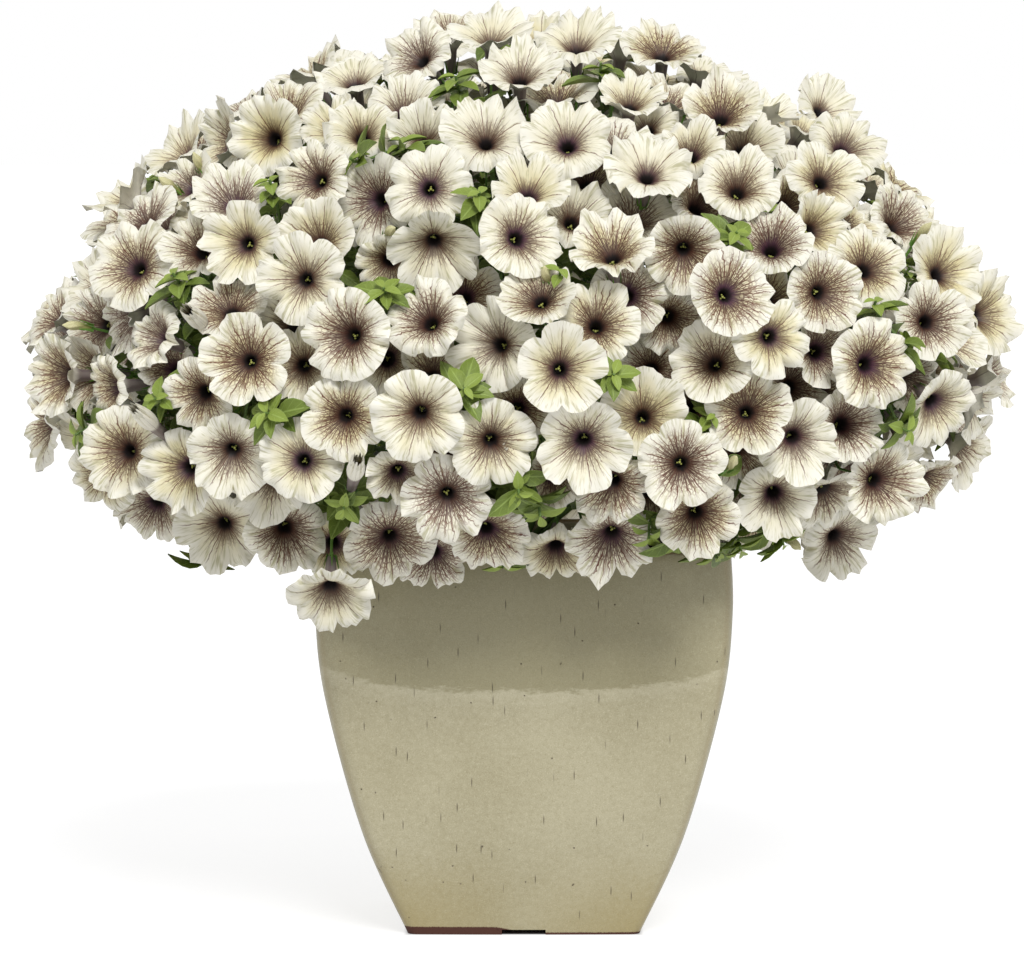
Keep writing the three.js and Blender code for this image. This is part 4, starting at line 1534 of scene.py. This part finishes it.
def clear_of_petals(leaves, blooms):
    """The leaves, with those that would pass through a petal made smaller or left out."""
    kept = []
    for smaller in (0.75, 0.7, 0.0):
        crossed = through_petals(leaves, blooms)
        kept.extend(leaf for leaf, bad in zip(leaves, crossed) if not bad)
        bad_ones = [leaf for leaf, bad in zip(leaves, crossed) if bad]
        leaves = [(*placing, length * smaller, young) for *placing, length, young in bad_ones]
        if not leaves:
            break
    return kept


def shoot_carrier(name, twigs, leaves):
    """The mesh that carries a shoot's twigs as edges and its leaves as loose points."""
    points, edges, thickness = [], [], []
    for twig in twigs:
        start = len(points)
        points.extend(map(tuple, twig.points))
        edges.extend((start + i, start + i + 1) for i in range(len(twig.points) - 1))
        thickness.extend(np.linspace(twig.first_radius, twig.last_radius, len(twig.points)))
    count = len(points)
    points.extend(tuple(leaf[0]) for leaf in leaves)
    mesh = bpy.data.meshes.new(name)
    mesh.from_pydata(points, edges, [])
    blank = [0.0] * count
    numbers = {
        "thickness": [*thickness, *[0.0] * len(leaves)],
        "size": [*blank, *(leaf[3] for leaf in leaves)],
        "young": [*blank, *(leaf[4] for leaf in leaves)],
    }
    for label, values in numbers.items():
        mesh.attributes.new(label, "FLOAT", "POINT").data.foreach_set("value", values)
    for label, part in (("run", 1), ("face", 2)):
        values = [0.0] * (3 * count)
        for leaf in leaves:
            values.extend(leaf[part])
        mesh.attributes.new(label, "FLOAT_VECTOR", "POINT").data.foreach_set("vector", values)
    return mesh


class PETUNIA_OT_shoots(bpy.types.Operator):
    """Make the thirteen branching shoots with their leaves"""

    bl_idname = "petunia.shoots"
    bl_label = "Leafy shoots"

    def execute(self, context):
        blooms, twigs, _, _ = plan()
        draw = random.Random(LEAF_SEED)
        tree = shoot_tree()
        size = context.scene.petunia_foliage.leaf_length
        shoots = []
        for shoot in range(len(SHOOT_STARTS)):
            own = [twig for twig in twigs if twig.shoot == shoot]
            leaves = [leaf for twig in own for leaf in leaves_along(twig, draw, size)]
            leaves = clear_of_petals(leaves, blooms)
            name = f"leafy_shoot_{shoot + 1:02d}"
            shoots.append(seedling(name, tree, {"Sides": 6}, shoot_carrier(name, own, leaves)))
        harvest(shoots)
        for number, piece in enumerate(shoots, 1):
            keep(piece, "foliage", f"shoot_{number:02d}")
        return {"FINISHED"}


# Blooms and buds


def sepals(tree, count, radius, length, low, spread):
    """A whorl of narrow sepals that stand up round the tube."""
    parts = []
    for i in range(count):
        leaf = cone(tree, 4, 0.0002, 0.0013, length, (0, 0, 0), (0, 0, math.pi / 4), (1, 0.4, 1))
        leaf = turned(tree, leaf, (0, -radius, low), (spread, 0, 0))
        parts.append(turned(tree, leaf, turn=(0, 0, 2 * math.pi * i / count)))
    return parts


@functools.cache
def bloom_tree():
    """One bloom facing +Z with its rim at zero: limb, tube, calyx, stalk, stigma and anthers."""
    inputs = {
        "Columns": 60, "Rows": ROWS, "Radius": BLOOM_RADIUS, "Depth": 0.01, "Steepness": 1.8,
        "Notch": 0.1, "Wave": 0.004, "Frill": 0.0015, "Folds": 0.0015, "Roll": 0.0, "Cup": 0.0,
        "Stigma": 0.0, "Seed": 0.0, "Reach": 0.66, "Yellow": 0.6,
    }
    tree, given, _ = growth("Bloom", inputs)
    mesh, u, v = grid(tree, given["Columns"] + 1, given["Rows"])
    angle = u * (2 * math.pi)
    c, s = angle.maths("COSINE"), angle.maths("SINE")
    share = v.through(SHARES)
    core = v.through(
        (0, 2.4, 3, 4, 4, 4, 4, 4, 4, 4, 4, 4.8, 4.8, 4.8, 4.8, 4.8, 4.9, 4.3, 3.4, 2.4, 0)
    ) * MM
    down = v.through(
        (0.43, 0.43, 0.25, 0, 0, 0, 0, 0, 0, 0, 0, 0, 0, 0, 0, 0, 0.08, 0.45, 0.93, 0.995, 1)
    )
    thick = v.through(
        (0, 0, 0, 0, 0, 0, 0, 0, 0, 0, 0, 0.5, 0.8, 0.8, 0.9, 1, 1, 0, 0, 0, 0)
    ) * PETAL_THICKNESS
    side = v.ramp(0.5, 0.51)
    lobe = (angle * 2.5).maths("COSINE").maths("ABSOLUTE")
    bulges = (angle * 5.0).maths("SINE").maths("ABSOLUTE")
    broad = clouds(tree, vector(tree, c * 0.75, s * 0.75, given["Seed"]), 1.0, 1.0)
    frill = clouds(tree, vector(tree, c * 4.0, s * 4.0, given["Seed"] + 3.7), 1.0, 1.0)
    sinus = (1.0 - lobe) ** 3.0
    outline = 1.0 - given["Notch"] * sinus + broad * 0.22 + frill * 0.13
    out = core * (1.0 - share) + given["Radius"] * outline * share
    funnel = (1.0 - share) ** given["Steepness"]
    height = given["Depth"] * funnel * -1.0
    height = height - (CALYX_DEPTH - given["Depth"]) * down - thick
    height = height + given["Folds"] * (bulges ** 0.8) * share * 1.4
    height = height - given["Folds"] * sinus * share * 0.8
    height = height + given["Wave"] * broad * 3.6 * (share ** 1.6)
    height = height + given["Frill"] * frill * (5.0 * (share ** 4.0) + 1.3 * share)
    height = height + given["Cup"] * (share ** 1.7) - given["Roll"] * (share ** 5.0)
    draw_in = 1.0 - given["Cup"].maths("ABSOLUTE") * (share ** 2.0) * 22.0
    out = out * draw_in.maths("MAXIMUM", 0.3)
    place = vector(tree, out * c, out * s, height)
    run = share - down
    mesh = stored(tree, mesh, "petal", vector(tree, c, s, run))
    mesh = stored(tree, mesh, "side", side, "FLOAT")
    limb = add(tree, "GeometryNodeFlipFaces", {"Mesh": wrapped(tree, mesh, place)}).outputs[0]
    limb = coloured(tree, shaded(tree, limb, 1.4), petal_finish())
    greens = sepals(tree, 5, 0.0032, 0.015, -CALYX_DEPTH - 0.001, 0.2)
    greens.append(cone(tree, 6, 0.0039, 0.001, 0.006, (0, 0, -CALYX_DEPTH - 0.0035)))
    stalk = STALK_END - CALYX_DEPTH - 0.002
    greens.append(cone(tree, 4, 0.001, 0.001, stalk, (0, 0, -STALK_END)))
    green = coloured(tree, shaded(tree, together(tree, *greens), 0.9), calyx_finish())
    bottom = vector(tree, 0.0006, -0.0004, given["Depth"] * -1.0 - given["Stigma"])
    yellow = [ball(tree, 0.0012)]
    for i in range(3):
        turn = 2 * math.pi * i / 3 + 0.5
        anther = (0.0017 * math.cos(turn), 0.0017 * math.sin(turn), -0.0008)
        yellow.append(turned(tree, ball(tree, 0.0008), anther))
    yellow.append(cone(tree, 4, 0.0004, 0.0004, 0.012, (0, 0, -0.0125)))
    heart = turned(tree, together(tree, *yellow), bottom)
    heart = coloured(tree, shaded(tree, heart, 1.2), pollen_finish())
    whole = together(tree, limb, green, heart)
    bloom = vector(tree, given["Reach"], given["Yellow"], given["Seed"])
    end_growth(tree, stored(tree, whole, "bloom", bloom))
    return tree


def laid(origin, axis, spin):
    """A move from zero and +Z to a point and a direction, turned about it by the spin."""
    return Matrix.Translation(origin) @ turn_of(axis, spin).to_4x4()


class PETUNIA_OT_blooms(bpy.types.Operator):
    """Make the open blooms"""

    bl_idname = "petunia.blooms"
    bl_label = "Blooms"

    def execute(self, context):
        sizes = context.scene.petunia_blooms
        tree = bloom_tree()
        blooms = plan()[0]
        made, places = [], []
        for number, bloom in enumerate(blooms, 1):
            values = bloom.measures
            near = bloom.rim.y < FRONT_TO and bloom.layer < LOWEST_LAYER
            values["Columns"] = sizes.columns if near else sizes.far_columns
            values["Rows"] = ROWS if near else FAR_ROWS
            made.append(seedling(f"bloom_{number:03d}", tree, values))
            places.append(laid(bloom.rim, bloom.facing, bloom.spin))
        harvest(made, places)
        for piece, bloom in zip(made, blooms):
            keep(piece, "petal", *([bloom.stands_for] if bloom.stands_for else []))
        return {"FINISHED"}


def bud_tree():
    """One furled bud standing up from zero: stalk, sepals and a twisted spindle."""
    inputs = {"Length": 0.024, "Radius": 0.0033, "Twist": 2.4, "Stalk": 0.012, "Seed": 1.0}
    tree, given, _ = growth("Furled bud", inputs)
    mesh, u, v = grid(tree, 31, 15)
    angle = u * (2 * math.pi)
    fullness = (0, 0.55, 0.6, 0.62, 0.66, 0.74, 0.84, 0.94, 1, 1, 0.94, 0.8, 0.56, 0.28, 0)
    round_share = v.through(fullness)
    twisted = angle + v * given["Twist"]
    pleats = (twisted * 5.0).maths("SINE")
    out = given["Radius"] * round_share * (pleats * 0.14 + 1.0)
    bend = (v ** 2.0) * given["Length"] * 0.12
    c, s = angle.maths("COSINE"), angle.maths("SINE")
    place = vector(tree, out * c + bend, out * s, given["Stalk"] + v * given["Length"])
    coords = vector(tree, twisted.maths("COSINE"), twisted.maths("SINE"), v)
    mesh = stored(tree, mesh, "petal", coords)
    spindle = coloured(tree, shaded(tree, wrapped(tree, mesh, place), 1.4), bud_finish())
    greens = sepals(tree, 5, 0.0021, 0.012, 0.0, 0.16)
    whorl = turned(tree, together(tree, *greens), vector(tree, 0.0, 0.0, given["Stalk"] - 0.0005))
    tall = vector(tree, 0.001, 0.001, given["Stalk"] + 0.002)
    stalk = turned(tree, cone(tree, 5, 1.0, 1.0, 1.0), scale=tall)
    green = coloured(tree, shaded(tree, together(tree, whorl, stalk), 0.9), calyx_finish())
    whole = together(tree, spindle, green)
    end_growth(tree, stored(tree, whole, "bloom", vector(tree, 1.2, 0.5, given["Seed"])))
    return tree


class PETUNIA_OT_buds(bpy.types.Operator):
    """Make the furled buds"""

    bl_idname = "petunia.buds"
    bl_label = "Buds"

    def execute(self, context):
        draw = random.Random(BUD_SEED)
        tree = bud_tree()
        made, places = [], []
        buds = plan()[2]
        for number, (root, lean, _) in enumerate(buds, 1):
            values = {"Seed": draw.uniform(0, 50), "Twist": draw.uniform(1.8, 3.0)}
            made.append(seedling(f"furled_bud_{number:02d}", tree, values))
            places.append(laid(root, lean, draw.uniform(0, 2 * math.pi)))
        harvest(made, places)
        for piece, (_, _, node) in zip(made, buds):
            keep(piece, "bud", *([node] if node else []))
        return {"FINISHED"}


# Stage


def lamp(name, azimuth, elevation, strength, softness):
    """A distant soft light. Azimuth 0 is in front, and grows to the right."""
    light = bpy.data.lights.new(name, "SUN")
    light.energy = strength * math.pi
    light.angle = softness
    made = bpy.data.objects.new(name, light)
    place = Vector((math.sin(azimuth), -math.cos(azimuth), math.tan(elevation)))
    made.rotation_euler = (-place).to_track_quat("-Z", "Y").to_euler()
    made.location = place * 2
    bpy.context.scene.collection.objects.link(made)


class PETUNIA_OT_stage(bpy.types.Operator):
    """Make the pale floor, the soft lights and the camera"""

    bl_idname = "petunia.stage"
    bl_label = "Stage"

    def execute(self, context):
        scene = context.scene
        stage = scene.petunia_stage
        far = 60.0
        corners = [(-far, -far, 0), (far, -far, 0), (far, far, 0), (-far, far, 0)]
        paper, tree, shader = finish("light table floor", 0.9)
        fibre = clouds(tree, object_place(tree), 400.0) + 0.5
        painted(tree, shader, blend(tree, fibre, (0.33, 0.33, 0.33), (0.35, 0.35, 0.35)))
        shader.inputs["Emission Color"].default_value = (1, 1, 1, 1)
        # The table glows all round the planter's foot, but not under it.
        x, y, _ = split(tree, object_place(tree))
        out = x.maths("ABSOLUTE").maths("MAXIMUM", y.maths("ABSOLUTE"))
        seen = Field(tree, add(tree, "ShaderNodeLightPath").outputs["Is Camera Ray"])
        glow = (seen * 0.4 + 0.6) * stage.glow
        feed(tree, shader.inputs["Emission Strength"], out.ramp(0.084, 0.092) * glow)
        floor = piece_of("floor", mesh_of("floor", corners, [(0, 1, 2, 3)], paper))
        sky = bpy.data.worlds.new("studio")
        sky.use_nodes = True
        tree = sky.node_tree
        seen = Field(tree, add(tree, "ShaderNodeLightPath").outputs["Is Camera Ray"])
        backdrop = seen.maths("MULTIPLY", 1.0 - stage.fill) + stage.fill
        feed(tree, tree.nodes["Background"].inputs["Strength"], backdrop)
        tree.nodes["Background"].inputs["Color"].default_value = (1, 1, 1, 1)
        scene.world = sky
        lamp("soft key light", stage.key_azimuth, stage.key_elevation, stage.key, stage.softness)
        scene.view_settings.view_transform = "Standard"
        lens = bpy.data.cameras.new("camera")
        lens.sensor_width = SENSOR_WIDTH
        lens.lens = FOCAL_PIXELS * SENSOR_WIDTH / FRAME_WIDTH
        lens.clip_end = 200
        camera = bpy.data.objects.new("camera", lens)
        camera.location = EYE_AIM - LOOK * EYE_DISTANCE
        camera.rotation_euler = LOOK.to_track_quat("-Z", "Y").to_euler()
        scene.collection.objects.link(camera)
        scene.camera = camera
        return {"FINISHED"}


# Add-on


def shade_property(name, text, default):
    return FloatVectorProperty(
        name=name, description=text, default=colour(default)[:3], subtype="COLOR", min=0, max=1
    )


def length_property(name, text, default, low=0.0, high=0.2):
    return FloatProperty(
        name=name, description=text, default=default, min=low, max=high, unit="LENGTH", precision=4
    )


def angle_property(name, text, degrees):
    default = math.radians(degrees)
    return FloatProperty(name=name, description=text, default=default, unit="ROTATION")


def count_property(name, text, default):
    return IntProperty(name=name, description=text, default=default, min=20, max=90)


def strength_property(name, text, default):
    return FloatProperty(name=name, description=text, default=default, min=0)


class PetuniaPlanter(bpy.types.PropertyGroup):
    wall: length_property("Wall", "Thickness of the planter's wall", 0.012)
    corner: length_property("Corner", "Radius of the upright corners", 0.015)
    bulge: length_property("Fullness", "How far the middle of a face stands out", 0.0025)
    glaze: shade_property("Glaze", "Light colour of the glaze", "#b6af93")
    shade: shade_property("Glaze shade", "Darker colour of the glaze", "#a1997b")
    # Painted shade: the colour that darkens the glaze above the line, in place of the mound's
    # shadow and reflection.
    second: shade_property("Painted shade band", "Glaze above the dip line", "#7f7852")
    clay: shade_property("Clay", "Bare clay of the foot", "#7a4a36")


class PetuniaBlooms(bpy.types.PropertyGroup):
    columns: count_property("Columns", "Faces round a near bloom", 60)
    far_columns: count_property("Far columns", "Faces round a far bloom", 36)
    margin: shade_property("Margin", "Outer part of the petals", "#e8e5d8")
    middle: shade_property("Middle", "Yellower middle of the petals", "#d6cb98")
    inner: shade_property("Inner", "Tan ground round the throat", "#b09660")
    back: shade_property("Back", "Back of the petals", "#eeeadb")
    halo: shade_property("Halo", "Purple round the throat", "#43200f")
    violet: shade_property("Violet", "Violet round some throats", "#48203a")
    throat: shade_property("Throat", "Dark throat", "#140a0a")


class PetuniaFoliage(bpy.types.PropertyGroup):
    leaf_length: length_property("Leaf", "Length of a full-grown leaf", 0.026)
    dark: shade_property("Dark", "Shaded green", "#2d410f")
    light: shade_property("Light", "Lit green", "#6b8029")
    tip: shade_property("Tip", "Young green", "#98ab49")


class PetuniaStage(bpy.types.PropertyGroup):
    key: strength_property("Key", "Strength of the key light", 0.68)
    key_azimuth: angle_property("Key azimuth", "Turn of the key light to the right", 10)
    key_elevation: angle_property("Key elevation", "Height of the key light", 39)
    softness: angle_property("Softness", "How wide the key light looks", 18)
    fill: strength_property("Fill", "Strength of the light all round", 0.62)
    glow: strength_property("Glow", "Light of the pale table itself", 0.75)


STEPS = (
    PETUNIA_OT_stage,
    PETUNIA_OT_planter,
    PETUNIA_OT_soil,
    PETUNIA_OT_crown,
    PETUNIA_OT_shoots,
    PETUNIA_OT_blooms,
    PETUNIA_OT_buds,
)
SETTINGS = {
    "petunia_planter": PetuniaPlanter,
    "petunia_blooms": PetuniaBlooms,
    "petunia_foliage": PetuniaFoliage,
    "petunia_stage": PetuniaStage,
}


class PETUNIA_PT_panel(bpy.types.Panel):
    """Lists the plant's settings and pieces"""

    bl_label = "Petunia"
    bl_space_type = "VIEW_3D"
    bl_region_type = "UI"
    bl_category = "Petunia"

    def draw(self, context):
        for name, kind in SETTINGS.items():
            box = self.layout.box()
            for label in kind.__annotations__:
                box.prop(getattr(context.scene, name), label)
        for step in STEPS:
            self.layout.operator(step.bl_idname)


def register():
    for kind in (*SETTINGS.values(), *STEPS, PETUNIA_PT_panel):
        bpy.utils.register_class(kind)
    for name, kind in SETTINGS.items():
        setattr(bpy.types.Scene, name, PointerProperty(type=kind))


def unregister():
    for name in SETTINGS:
        delattr(bpy.types.Scene, name)
    for kind in (PETUNIA_PT_panel, *reversed(STEPS), *SETTINGS.values()):
        bpy.utils.unregister_class(kind)


def main():
    register()
    for step in STEPS:
        group_name, label = step.bl_idname.split(".")
        getattr(getattr(bpy.ops, group_name), label)()


if __name__ == "__main__":
    main()
